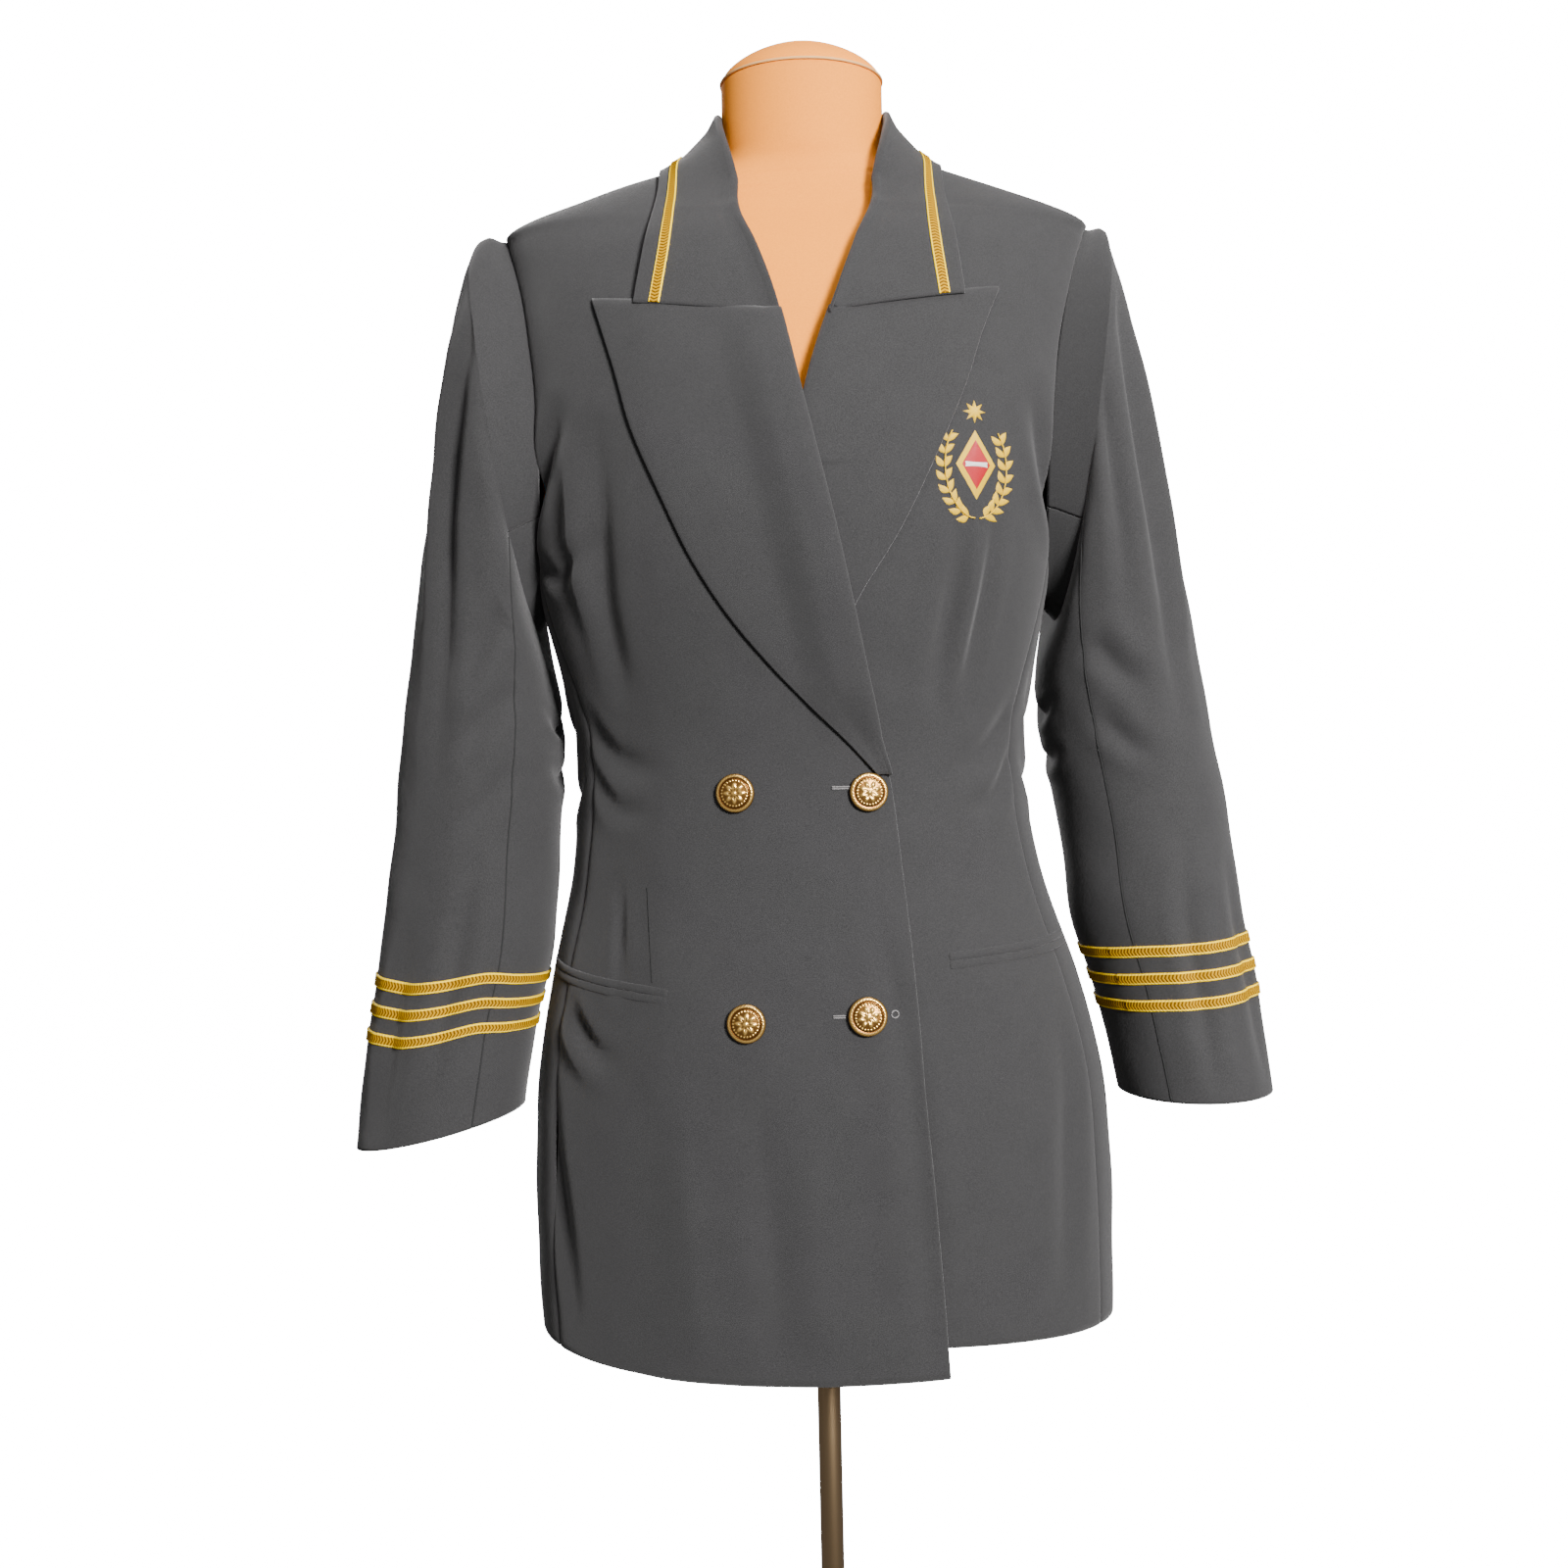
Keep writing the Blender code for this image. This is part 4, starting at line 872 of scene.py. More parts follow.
def braid_band(name, lines, outs, material, replaced):
    """A braid that follows a line: its weave of chevrons and its two edge cords stand out."""
    start, across = lines
    columns = 15
    shares = np.linspace(0, 1, columns)
    along = np.concatenate(([0.0], np.cumsum(np.linalg.norm(np.diff(start, axis=0), axis=1))))
    edge = np.abs(shares - 0.5) * 2
    cord = np.exp(-((edge - 0.86) / 0.11) ** 2)
    weave = np.cos(2 * math.pi * (along[:, None] / 0.0023 + np.abs(shares[None, :] - 0.5) * 1.6))
    inside = 1 - smooth(0.62, 0.76, edge)
    relief = 0.0007 + 0.00022 * cord[None, :] + 0.00012 * weave * inside[None, :]
    relief = relief - 0.0005 * smooth(0.93, 1.0, edge)[None, :]
    grid = start[:, None, :] + (across - start)[:, None, :] * shares[None, :, None]
    grid = grid + outs[:, None, :] * relief[..., None]
    item = shell(name, grid, material, thick=0.0009, normals=np.repeat(outs[:, None, :], columns, axis=1))
    layer = item.data.uv_layers["cloth"]
    count = len(item.data.vertices)
    places = np.zeros((count, 2), dtype=np.float32)
    size = grid.shape[0] * columns
    flat = np.stack(np.meshgrid(shares, along), axis=-1).reshape(-1, 2)
    places[:size] = flat
    places[size:2 * size] = flat
    loops = np.zeros(len(item.data.loops), dtype=np.int32)
    item.data.loops.foreach_get("vertex_index", loops)
    layer.data.foreach_set("uv", places[loops].ravel())
    register(item, (replaced,))
    cloth(grid)
    return item


def make_collar_braid(gold, collar):
    """The braid on the collar, which runs parallel to its outer edge."""
    edge_to_fold = collar[:, :26]
    first, second, outs = [], [], []
    for line in edge_to_fold:
        reach = np.concatenate(([0.0], np.cumsum(np.linalg.norm(np.diff(line, axis=0), axis=1))))
        spots = [np.array([np.interp(place, reach, line[:, axis]) for axis in range(3)])
                 for place in (BRAID_SET_IN, BRAID_SET_IN + BRAID_WIDTH)]
        first.append(spots[0])
        second.append(spots[1])
    first, second = np.array(first), np.array(second)
    count = int(np.linalg.norm(np.diff(first, axis=0), axis=1).sum() / 0.0007)
    places = np.linspace(0, 1, count)
    known = np.linspace(0, 1, len(first))
    first = np.stack([np.interp(places, known, first[:, axis]) for axis in range(3)], axis=-1)
    second = np.stack([np.interp(places, known, second[:, axis]) for axis in range(3)], axis=-1)
    outs = unit(np.cross(np.gradient(first, axis=0), second - first))
    middle = first.mean(axis=0)
    if (outs * (first - middle)).sum(axis=-1).mean() < 0:
        outs = -outs
        first, second = first[::-1], second[::-1]
        outs = outs[::-1]
    braid_band("collar_braid_gold", (first, second), outs, gold, "collar_braid")


def make_cuff_braids(gold, skins):
    """Three braids round each cuff, each joined on the under side."""
    wave = fine_rows(CUFF_WAVE, 8)
    for side, sign in (("right", -1), ("left", 1)):
        surface = skins[side]
        for number, share in enumerate(CUFF_BRAIDS[side], 1):
            half = BRAID_WIDTH / SLEEVE_LENGTH / 2
            turn = np.linspace(0, 2 * math.pi, 560) + SLEEVE_SEAM + 0.35
            tilt = 0.0012 * np.sin(turn + number) + 0.0007 * np.sin(2 * turn + 1.3 * number)
            turn_wrapped = np.mod(turn + math.pi, 2 * math.pi) - math.pi
            sag = np.interp((1 - np.cos(turn)) / 2, wave[:, 0], wave[:, 1]) / SLEEVE_LENGTH
            tilt = tilt + sag * (1.15 if sign < 0 else 0.2)
            high, outs = sleeve_skin(surface, side, sign, turn_wrapped, share - half + tilt)
            low, _ = sleeve_skin(surface, side, sign, turn_wrapped, share + half + tilt)
            lift = 0.0004 * smooth(0.0, 0.18, (turn - turn[0]) / 4)[:, None]
            if sign < 0:
                pair = (high + outs * lift, low + outs * lift)
            else:
                pair = (low + outs * lift, high + outs * lift)
            braid_band(f"cuff_braid_gold_{side}_{number}", pair, outs, gold, f"cuff_braid_{side}_{number}")


def make_pockets(wool, grids):
    """The pockets: an upper and a lower jet over a narrow dark mouth."""
    for side, first, first_z, second, second_z in POCKETS:
        sign = -1 if side == "right" else 1
        share = np.linspace(0.0, 1.0, 90)
        angle = np.radians(first + (second - first) * share)
        z = first_z + (second_z - first_z) * share
        lined = np.abs(angle) < side_angle(z)
        base = body_point(angle, z)
        slopes = unit(body_slope(base))
        outward = over_lift(base[..., 0], base[..., 2]) if sign < 0 else 0 * z
        sunk = np.where(lined, body_folds("front", angle, z), body_folds("side", angle, z))
        middle = base + slopes * (outward - sunk)[:, None]
        way = unit(np.gradient(middle, axis=0))
        up = unit(np.cross(slopes, way))
        up = up * np.sign(up[:, 2:3])
        for piece, shift, high in (("upper_jet", 0.0026, 0.0011), ("lower_jet", -0.0026, 0.0008)):
            turns = np.radians(np.linspace(-95, 95, 13))
            rows = []
            for turn in turns:
                off = shift + 0.0025 * math.sin(turn)
                raised = high * (0.25 + 0.75 * math.cos(turn)) * (1 - 0.5 * (2 * share - 1) ** 10)
                rows.append(middle + up * off + slopes * raised[:, None])
            grid = np.array(rows)
            if way[:, 0].mean() < 0:
                grid = grid[:, ::-1]
            item = shell(f"pocket_cloth_{side}_{piece}", grid, wool, thick=0.0009)
            register(item, (f"pocket_{side}_{piece}",))
            cloth(grid)


def turned_profile(name, profile, place, facing, material, steps=72):
    """A round solid turned about an axis: the profile gives radius and height."""
    angles = np.linspace(0, 2 * math.pi, steps, endpoint=False)
    facing = Vector(facing).normalized()
    side = facing.orthogonal().normalized()
    other = facing.cross(side)
    side, other, facing = (np.array(vector) for vector in (side, other, facing))
    points = []
    for radius, height in profile:
        for angle in angles:
            points.append(np.array(place) + facing * height
                          + (side * math.cos(angle) + other * math.sin(angle)) * radius)
    faces = []
    for row in range(len(profile) - 1):
        for column in range(steps):
            after = (column + 1) % steps
            faces.append((row * steps + column, row * steps + after,
                          (row + 1) * steps + after, (row + 1) * steps + column))
    faces.append(tuple(range(steps))[::-1])
    faces.append(tuple((len(profile) - 1) * steps + column for column in range(steps)))
    item = add_mesh(name, points, faces)
    item.data.materials.append(material)
    return item


def button_height(x, y):
    """The height of a button's face at places from its middle, in metres, and its relief."""
    radius = np.hypot(x, y)
    around = np.arctan2(y, x)
    share = radius / BUTTON_RADIUS
    dome = 0.0046 * np.sqrt(np.maximum(0.0, 1 - (share * 0.93) ** 2))
    rope = np.exp(-((share - 0.90) / 0.055) ** 2)
    twist = 0.5 + 0.5 * np.cos(34 * around + 55 * (share - 0.90))
    groove = np.exp(-((share - 0.77) / 0.035) ** 2)
    beads = np.exp(-((share - 0.67) / 0.042) ** 2) * (0.5 + 0.5 * np.cos(26 * around)) ** 1.5
    petals = 0.5 + 0.5 * np.cos(8 * around)
    leaf = np.exp(-((share - 0.26 - 0.16 * petals) / 0.10) ** 2) * (0.25 + 0.75 * petals)
    heart = np.exp(-(share / 0.10) ** 2)
    relief = rope * (0.45 + 0.55 * twist) - 0.8 * groove + 0.9 * beads + 1.1 * leaf + 1.2 * heart
    return dome + 0.00048 * relief, relief


def make_buttons(gilt, grids):
    """The four gilt buttons, each with a rope border, a ring of beads and a rosette."""
    rings, steps = 46, 150
    for number, (name, x, z) in enumerate(BUTTONS):
        side = -1
        place, facing = on_front(grids[side], np.array(x), np.array(z))
        facing = np.array(facing)
        side_way = unit(np.cross(np.array((0.0, 0.0, 1.0)), facing))
        up_way = np.cross(facing, side_way)
        turn = 0.35 * number
        points, depths = [], []
        for ring in range(rings):
            radius = BUTTON_RADIUS * ring / (rings - 1)
            for angle in np.linspace(0, 2 * math.pi, steps, endpoint=False):
                across, along = radius * math.cos(angle), radius * math.sin(angle)
                high, low = (float(value) for value in button_height(across, along))
                spun = angle + turn
                points.append(place + facing * (0.0012 + high)
                              + side_way * radius * math.cos(spun) + up_way * radius * math.sin(spun))
                depths.append(low)
        for radius, high in ((BUTTON_RADIUS * 1.005, 0.0010), (BUTTON_RADIUS * 0.95, 0.0002),
                             (BUTTON_RADIUS * 0.4, 0.0001)):
            for angle in np.linspace(0, 2 * math.pi, steps, endpoint=False):
                spun = angle + turn
                points.append(place + facing * (0.0006 + high)
                              + side_way * radius * math.cos(spun) + up_way * radius * math.sin(spun))
                depths.append(0.0)
        faces = []
        for row in range(rings + 2):
            for column in range(steps):
                after = (column + 1) % steps
                faces.append((row * steps + column, (row + 1) * steps + column,
                              (row + 1) * steps + after, row * steps + after))
        faces.append(tuple((rings + 2) * steps + column for column in range(steps)))
        item = add_mesh(f"gilt_button_{name}", points, faces)
        item.data.materials.append(gilt)
        hollow = item.data.attributes.new("relief", "FLOAT", "POINT")
        hollow.data.foreach_set("value", np.array(depths, dtype=np.float32))
        register(item, (f"button_{name}",))


def form_section(z):
    """Middle x, half width, front depth, back depth and roundness of the dress form at heights."""
    inset = 0.011 - 0.0052 * smooth(1.12, 1.20, z)
    middle, half, front, back, power = level(np.minimum(z + 0.0026, 1.2555))
    taper = 0.90 + 0.10 * smooth(0.46, 0.70, z)
    neck = smooth(1.235, 1.262, z)
    half = (half - inset) * taper
    front = (front - inset) * taper
    back = (back - inset) * taper
    half = half + (FORM_NECK - half) * neck
    front = front + (FORM_NECK * 0.80 - front) * neck
    back = back + (FORM_NECK * 0.94 - back) * neck
    return middle * (1 - neck), half, front, back, power + (2 - power) * neck


def form_solid(name, heights, shrink, linen, replaced):
    """A closed solid of the form's rings at heights, each scaled by its shrink."""
    sides = 128
    angle = np.linspace(0, 2 * math.pi, sides, endpoint=False)
    section = form_section(np.minimum(heights, FORM_TOP))
    middle, half, front, back, power = (value[:, None] for value in section)
    across, along = np.sin(angle)[None, :], np.cos(angle)[None, :]
    reach = shrink[:, None] * (np.abs(across) ** power + np.abs(along) ** power) ** (-1 / power)
    depth = np.where(along > 0, front, back)
    z = heights[:, None] + 0 * angle[None, :]
    for middle_z, deep in ((1.2390, 0.040), (1.2305, 0.036), (1.2240, 0.020)):
        line = middle_z + 0.0016 * np.sin(2 * angle + 300 * middle_z) - 0.0015 * np.cos(angle)
        uneven = 0.65 + 0.35 * np.sin(3 * angle + 90 * middle_z)
        reach = reach - deep * np.exp(-((z - line) / 0.0017) ** 2) * uneven
    grid = np.stack((middle + half * reach * across, -depth * reach * along, z), axis=-1)
    points = grid.reshape(-1, 3)
    uv = np.stack(np.meshgrid(angle * 0.0545, heights), axis=-1).reshape(-1, 2)
    index = np.arange(len(points)).reshape(grid.shape[:2])
    after = np.roll(index, -1, axis=1)
    faces = np.stack((index[:-1], after[:-1], after[1:], index[1:]), axis=-1).reshape(-1, 4).tolist()
    faces.append(index[0][::-1].tolist())
    faces.append(index[-1].tolist())
    item = add_mesh(name, points.tolist(), faces, uv)
    item.data.materials.append(linen)
    register(item, (replaced,))
    return item


def make_form(linen, seam_thread, bronze):
    """The dress form with its neck cap, and the stand."""
    heights = np.concatenate((np.linspace(FORM_BOTTOM, 1.18, 70), np.linspace(1.184, FORM_TOP - 0.0006, 120)))
    shrink = 1 - 0.02 * smooth(FORM_TOP - 0.004, FORM_TOP, heights) ** 2
    form_solid("form_torso_cloth", heights, shrink, linen, "form_torso")
    share = np.sin(np.linspace(0, math.pi / 2 - 0.02, 48))
    rise = share * 0.0262
    cap = (1 - share ** 1.5) ** 0.62 * (1 - 0.02 * np.exp(-np.arange(48) / 2.0))
    form_solid("form_cap_cloth", FORM_TOP + GAP + rise, cap, linen, "form_neck_cap")
    angle = np.linspace(0, 2 * math.pi, 420, endpoint=False)
    middle, half, front, back, _ = (float(value) for value in form_section(np.array(FORM_TOP)))
    depth = np.where(np.cos(angle) > 0, front, back)
    line = np.stack((middle + half * np.sin(angle), -depth * np.cos(angle), FORM_TOP + 0 * angle), axis=-1)
    tube("form_cap_seam", line, 0.0009, seam_thread, closed=True, sides=8)
    up = (0, 0, 1)
    pole = ((0.0072, BASE_HEIGHT + GAP), (0.0080, BASE_HEIGHT + 0.001),
            (0.0080, FORM_BOTTOM - 0.001), (0.0076, FORM_BOTTOM - GAP))
    register(turned_profile("stand_pole", pole, (0, 0, 0), up, bronze), ("form_pole",))
    base = ((BASE_RADIUS - 0.0016, 0.0), (BASE_RADIUS, 0.0016), (BASE_RADIUS, 0.0096),
            (BASE_RADIUS - 0.0008, 0.0120), (BASE_RADIUS - 0.0030, 0.0136), (BASE_RADIUS - 0.008, 0.0146),
            (0.045, 0.0176), (0.030, BASE_HEIGHT))
    register(turned_profile("stand_base", base, (0, 0, 0), up, bronze, 160), ("form_base",))


def tube(name, line, radius, material, closed=False, sides=6):
    """A thread or cord that follows a line."""
    line = np.asarray(line, float)
    if closed:
        way = np.roll(line, -1, axis=0) - np.roll(line, 1, axis=0)
    else:
        way = np.gradient(line, axis=0)
    way = unit(way)
    side = unit(np.cross(way, np.array((0.13, 0.21, 0.97))))
    other = np.cross(way, side)
    angle = np.linspace(0, 2 * math.pi, sides, endpoint=False)
    ring = (side[:, None, :] * np.cos(angle)[None, :, None]
            + other[:, None, :] * np.sin(angle)[None, :, None]) * radius
    grid = line[:, None, :] + ring
    index = np.arange(len(line) * sides).reshape(-1, sides)
    if closed:
        index = np.concatenate((index, index[:1]))
    after = np.roll(index, -1, axis=1)
    faces = np.stack((index[:-1], after[:-1], after[1:], index[1:]), axis=-1).reshape(-1, 4)[:, ::-1].tolist()
    if not closed:
        faces.append(index[0].tolist())
        faces.append(index[-1][::-1].tolist())
    item = add_mesh(name, grid.reshape(-1, 3).tolist(), faces)
    item.data.materials.append(material)
    return register(item)


def on_left_chest(grid, across, along, lift):
    """Points over the left front at distances across and up from the emblem's middle."""
    x = EMBLEM_X + np.asarray(across)
    z = EMBLEM_Z + np.asarray(along)
    points, slopes = on_front(grid, x, z)
    return points + slopes * lift


def stitched_shape(name, grid, outline, height, material, rings=7):
    """A padded patch of embroidery: an outline in metres about its middle, raised to a low dome."""
    outline = np.asarray(outline, float)
    middle = outline.mean(axis=0)
    points, uv, faces = [], [], []
    count = len(outline)
    for ring in range(rings):
        share = 1 - ring / rings
        place = middle + (outline - middle) * share
        rise = height * math.sqrt(1 - share ** 2.2)
        lift = 0.0001 + rise
        points.append(on_left_chest(grid, place[:, 0], place[:, 1], lift))
        uv.append(place)
    points.append(on_left_chest(grid, middle[None, 0], middle[None, 1], 0.0001 + height))
    uv.append(middle[None, :])
    points, uv = np.concatenate(points), np.concatenate(uv)
    after = np.roll(outline, -1, axis=0)
    area = 0.5 * np.sum(outline[:, 0] * after[:, 1] - outline[:, 1] * after[:, 0])
    for ring in range(rings):
        for column in range(count):
            after = (column + 1) % count
            if ring == rings - 1:
                face = (ring * count + column, ring * count + after, rings * count)
            else:
                face = (ring * count + column, ring * count + after,
                        (ring + 1) * count + after, (ring + 1) * count + column)
            faces.append(face if area > 0 else face[::-1])
    item = add_mesh(name, points.tolist(), faces, uv)
    item.data.materials.append(material)
    return register(item)


def leaf_outline(root, angle, length, width):
    """The outline of one embroidered leaf."""
    share = np.linspace(0, 1, 12)
    bulge = width / 2 * np.sin(math.pi * share ** 0.85)
    curve = 0.10 * length * np.sin(math.pi * share)
    one = np.stack((share * length, curve + bulge), axis=-1)
    two = np.stack((share * length, curve - bulge), axis=-1)[::-1]
    outline = np.concatenate((one, two[1:-1]))
    turn = np.array(((math.cos(angle), -math.sin(angle)), (math.sin(angle), math.cos(angle))))
    return outline @ turn.T + root


def make_emblem(grid, gold, red, white):
    """The embroidered badge on the left chest: two leaf sprays round a lozenge, and a star above."""
    number = 0
    for sign in (-1, 1):
        stem = []
        for share in np.linspace(0, 1, 36):
            turn = math.radians(-86 + 128 * share)
            stem.append((sign * 0.0200 * math.cos(turn), -0.004 + 0.0320 * math.sin(turn)))
        stem = np.array(stem)
        line = on_left_chest(grid, stem[:, 0], stem[:, 1], 0.0007)
        tube(f"emblem_stem_{'right' if sign < 0 else 'left'}", line, 0.0005, gold)
        for index in range(3, 34, 4):
            way = stem[index + 1] - stem[index - 1]
            heading = math.atan2(way[1], way[0])
            for lean in (-1, 1):
                number += 1
                outline = leaf_outline(stem[index], heading + lean * 0.66, 0.0086, 0.0042)
                stitched_shape(f"emblem_leaf_{number}", grid, outline, 0.0007, gold)
    for name, size, height, material in (("gold", 1.0, 0.0007, gold), ("red", 0.80, 0.0012, red)):
        corner = np.array(((0, -0.0215), (0.0128, 0.0), (0, 0.0215), (-0.0128, 0.0))) * size
        outline = []
        for index in range(4):
            start, end = corner[index], corner[(index + 1) % 4]
            outline += [start + (end - start) * share for share in np.linspace(0, 1, 9)[:-1]]
        outline = np.array(outline) + np.array((0.0, -0.003))
        stitched_shape(f"emblem_lozenge_{name}", grid, outline, height, material)
    bar = np.array(((-0.0082, -0.0019), (0.0082, -0.0019), (0.0082, 0.0019), (-0.0082, 0.0019)))
    bar = np.repeat(bar, 5, axis=0) + np.tile(np.linspace(0, 1, 5)[:, None], (4, 1)) * (
        np.repeat(np.roll(bar, -1, axis=0) - bar, 5, axis=0)) * 0.96
    stitched_shape("emblem_band", grid, bar + np.array((0.0, -0.003)), 0.0016, white)
    star = []
    for index in range(16):
        turn = math.pi / 8 * index + math.pi / 2
        reach = 0.0072 if index % 2 == 0 else 0.0034
        star.append((reach * math.cos(turn), 0.0300 + reach * math.sin(turn)))
    stitched_shape("emblem_star", grid, star, 0.0013, gold)


def make_stitches(grid, pale, dark):
    """Buttonholes and eyelets worked in thread on the front that laps on top, and a near-black line of
    painted shade along its waist dart.
    """
    for name, x, z in (("upper", np.linspace(0.0074, 0.0190, 20), 0.8370),
                       ("lower", np.linspace(0.0050, 0.0125, 16), 0.6972)):
        points, slopes = on_front(grid, x, z + 0 * x)
        for row, shift in (("high", 0.0006), ("low", -0.0006)):
            moved = points + slopes * 0.0004 + np.array((0, 0, shift))
            tube(f"buttonhole_{name}_{row}", moved, 0.0005, pale)
    turn = np.linspace(0, 2 * math.pi, 28, endpoint=False)
    points, slopes = on_front(grid, 0.0431 + 0.0022 * np.cos(turn), 0.6974 + 0.0022 * np.sin(turn))
    tube("eyelet_lower", points + slopes * 0.0003, 0.0005, pale, closed=True)
    # The waist dart: a thin near-black tube whose colour is painted shade in the dart's fold.
    part = np.linspace(0, 1, 40)
    points, slopes = on_front(grid, -0.1093 + 0.0025 * part, 0.7766 - 0.0587 * part)
    tube("waist_dart_shade", points + slopes * 0.0001, 0.00035, dark)


def node(tree, kind, inputs=(), **settings):
    """A shader node with its settings and inputs; an input may be a value or another node's output."""
    made = tree.nodes.new(kind)
    for key, value in settings.items():
        setattr(made, key, value)
    for key, value in dict(inputs).items():
        if isinstance(value, bpy.types.NodeSocket):
            tree.links.new(value, made.inputs[key])
        else:
            made.inputs[key].default_value = value
    return made


def new_material(name, color, roughness, metallic=0.0):
    """A material with its main shader, and the tree, for its weave to be added."""
    material = bpy.data.materials.new(name)
    material.use_nodes = True
    tree = material.node_tree
    shader = tree.nodes["Principled BSDF"]
    shader.inputs["Base Color"].default_value = (*color, 1)
    shader.inputs["Roughness"].default_value = roughness
    shader.inputs["Metallic"].default_value = metallic
    return material, tree, shader


def mixed(tree, factor, first, second):
    """A colour between two by a factor."""
    mix = node(tree, "ShaderNodeMix", data_type="RGBA")
    tree.links.new(factor, mix.inputs[0])
    for socket, color in ((mix.inputs[6], first), (mix.inputs[7], second)):
        if isinstance(color, bpy.types.NodeSocket):
            tree.links.new(color, socket)
        else:
            socket.default_value = (*color, 1)
    return mix.outputs[2]


def wool_material():
    """Charcoal wool twill: fine slanting ribs, a soft nap and slight unevenness of colour."""
    material, tree, shader = new_material("wool", (0.030, 0.030, 0.032), 0.92)
    uv = node(tree, "ShaderNodeUVMap", uv_map="cloth").outputs["UV"]
    turned = node(tree, "ShaderNodeMapping", {"Vector": uv, "Rotation": (0, 0, math.radians(52))})
    twill = node(tree, "ShaderNodeTexWave", {"Vector": turned.outputs[0], "Scale": 420.0,
                                             "Distortion": 1.5, "Detail": 2.0, "Detail Scale": 2.0})
    place = node(tree, "ShaderNodeTexCoord").outputs["Object"]
    nap = node(tree, "ShaderNodeTexNoise", {"Vector": place, "Scale": 1500.0, "Detail": 3.0})
    cloud = node(tree, "ShaderNodeTexNoise", {"Vector": place, "Scale": 60.0, "Detail": 4.0})
    fleck = node(tree, "ShaderNodeMapRange", {"Value": nap.outputs[0], "From Min": 0.3, "From Max": 0.7})
    color = mixed(tree, fleck.outputs[0], (0.0170, 0.0166, 0.0169), (0.0360, 0.0349, 0.0355))
    shade = node(tree, "ShaderNodeMapRange", {"Value": cloud.outputs[0], "To Min": 0.0, "To Max": 0.45})
    color = mixed(tree, shade.outputs[0], color, (0.0375, 0.0364, 0.0369))
    tree.links.new(color, shader.inputs["Base Color"])
    height = node(tree, "ShaderNodeMath", {0: twill.outputs["Fac"], 1: nap.outputs[0]}, operation="ADD")
    bump = node(tree, "ShaderNodeBump", {"Height": height.outputs[0], "Strength": 0.25, "Distance": 0.0004})
    tree.links.new(bump.outputs[0], shader.inputs["Normal"])
    shader.inputs["Sheen Weight"].default_value = 0.18
    shader.inputs["Sheen Roughness"].default_value = 0.5
    shader.inputs["Sheen Tint"].default_value = (0.82, 0.8, 0.8, 1)
    shader.inputs["Specular IOR Level"].default_value = 0.2
    return material


def braid_material():
    """Gold braid: across its width pale edge cords, and between them a darker chevron weave."""
    material, tree, shader = new_material("braid", (0.90, 0.48, 0.01), 0.6)
    uv = node(tree, "ShaderNodeUVMap", uv_map="cloth").outputs["UV"]
    parts = node(tree, "ShaderNodeSeparateXYZ", {0: uv})
    away = node(tree, "ShaderNodeMath", {0: parts.outputs[0], 1: 0.5}, operation="SUBTRACT")
    away = node(tree, "ShaderNodeMath", {0: away.outputs[0]}, operation="ABSOLUTE")
    long_way = node(tree, "ShaderNodeMath", {0: parts.outputs[1], 1: 0.0023}, operation="DIVIDE")
    slant = node(tree, "ShaderNodeMath", {0: away.outputs[0], 1: 1.6}, operation="MULTIPLY")
    phase = node(tree, "ShaderNodeMath", {0: long_way.outputs[0], 1: slant.outputs[0]}, operation="ADD")
    phase = node(tree, "ShaderNodeMath", {0: phase.outputs[0], 1: 2 * math.pi}, operation="MULTIPLY")
    wave = node(tree, "ShaderNodeMath", {0: phase.outputs[0]}, operation="COSINE")
    weave = node(tree, "ShaderNodeMapRange", {"Value": wave.outputs[0], "From Min": -1.0, "From Max": 1.0})
    color = mixed(tree, weave.outputs[0], (0.09, 0.034, 0.0), (0.52, 0.27, 0.0))
    shader.inputs["Specular IOR Level"].default_value = 0.06
    cord = node(tree, "ShaderNodeMapRange", {"Value": away.outputs[0], "From Min": 0.34, "From Max": 0.38})
    tree.links.new(mixed(tree, cord.outputs[0], color, (1.0, 0.66, 0.0)), shader.inputs["Base Color"])
    bump = node(tree, "ShaderNodeBump", {"Height": wave.outputs[0], "Strength": 0.4, "Distance": 0.0003})
    tree.links.new(bump.outputs[0], shader.inputs["Normal"])
    return material


def thread_material(name, color, metallic):
    """Embroidery in satin stitch: fine threads that slant across the shape."""
    material, tree, shader = new_material(name, color, 0.45, metallic)
    place = node(tree, "ShaderNodeTexCoord").outputs["Object"]
    turned = node(tree, "ShaderNodeMapping", {"Vector": place, "Rotation": (0, math.radians(35), 0)})
    thread = node(tree, "ShaderNodeTexWave", {"Vector": turned.outputs[0], "Scale": 520.0, "Distortion": 0.6})
    dark = tuple(value * 0.55 for value in color)
    tree.links.new(mixed(tree, thread.outputs["Fac"], dark, color), shader.inputs["Base Color"])
    bump = node(tree, "ShaderNodeBump",
                {"Height": thread.outputs["Fac"], "Strength": 0.5, "Distance": 0.0003})
    tree.links.new(bump.outputs[0], shader.inputs["Normal"])
    return material


def gilt_material():
    """Gilt metal, with brown left in the recesses of its relief."""
    material, tree, shader = new_material("gilt", (0.90, 0.52, 0.14), 0.30, 0.9)
    relief = node(tree, "ShaderNodeAttribute", attribute_name="relief")
    clear = node(tree, "ShaderNodeMapRange",
                 {"Value": relief.outputs["Fac"], "From Min": -0.05, "From Max": 0.65})
    tree.links.new(mixed(tree, clear.outputs[0], (0.15, 0.055, 0.010), (1.0, 0.62, 0.17)),
                   shader.inputs["Base Color"])
    return material


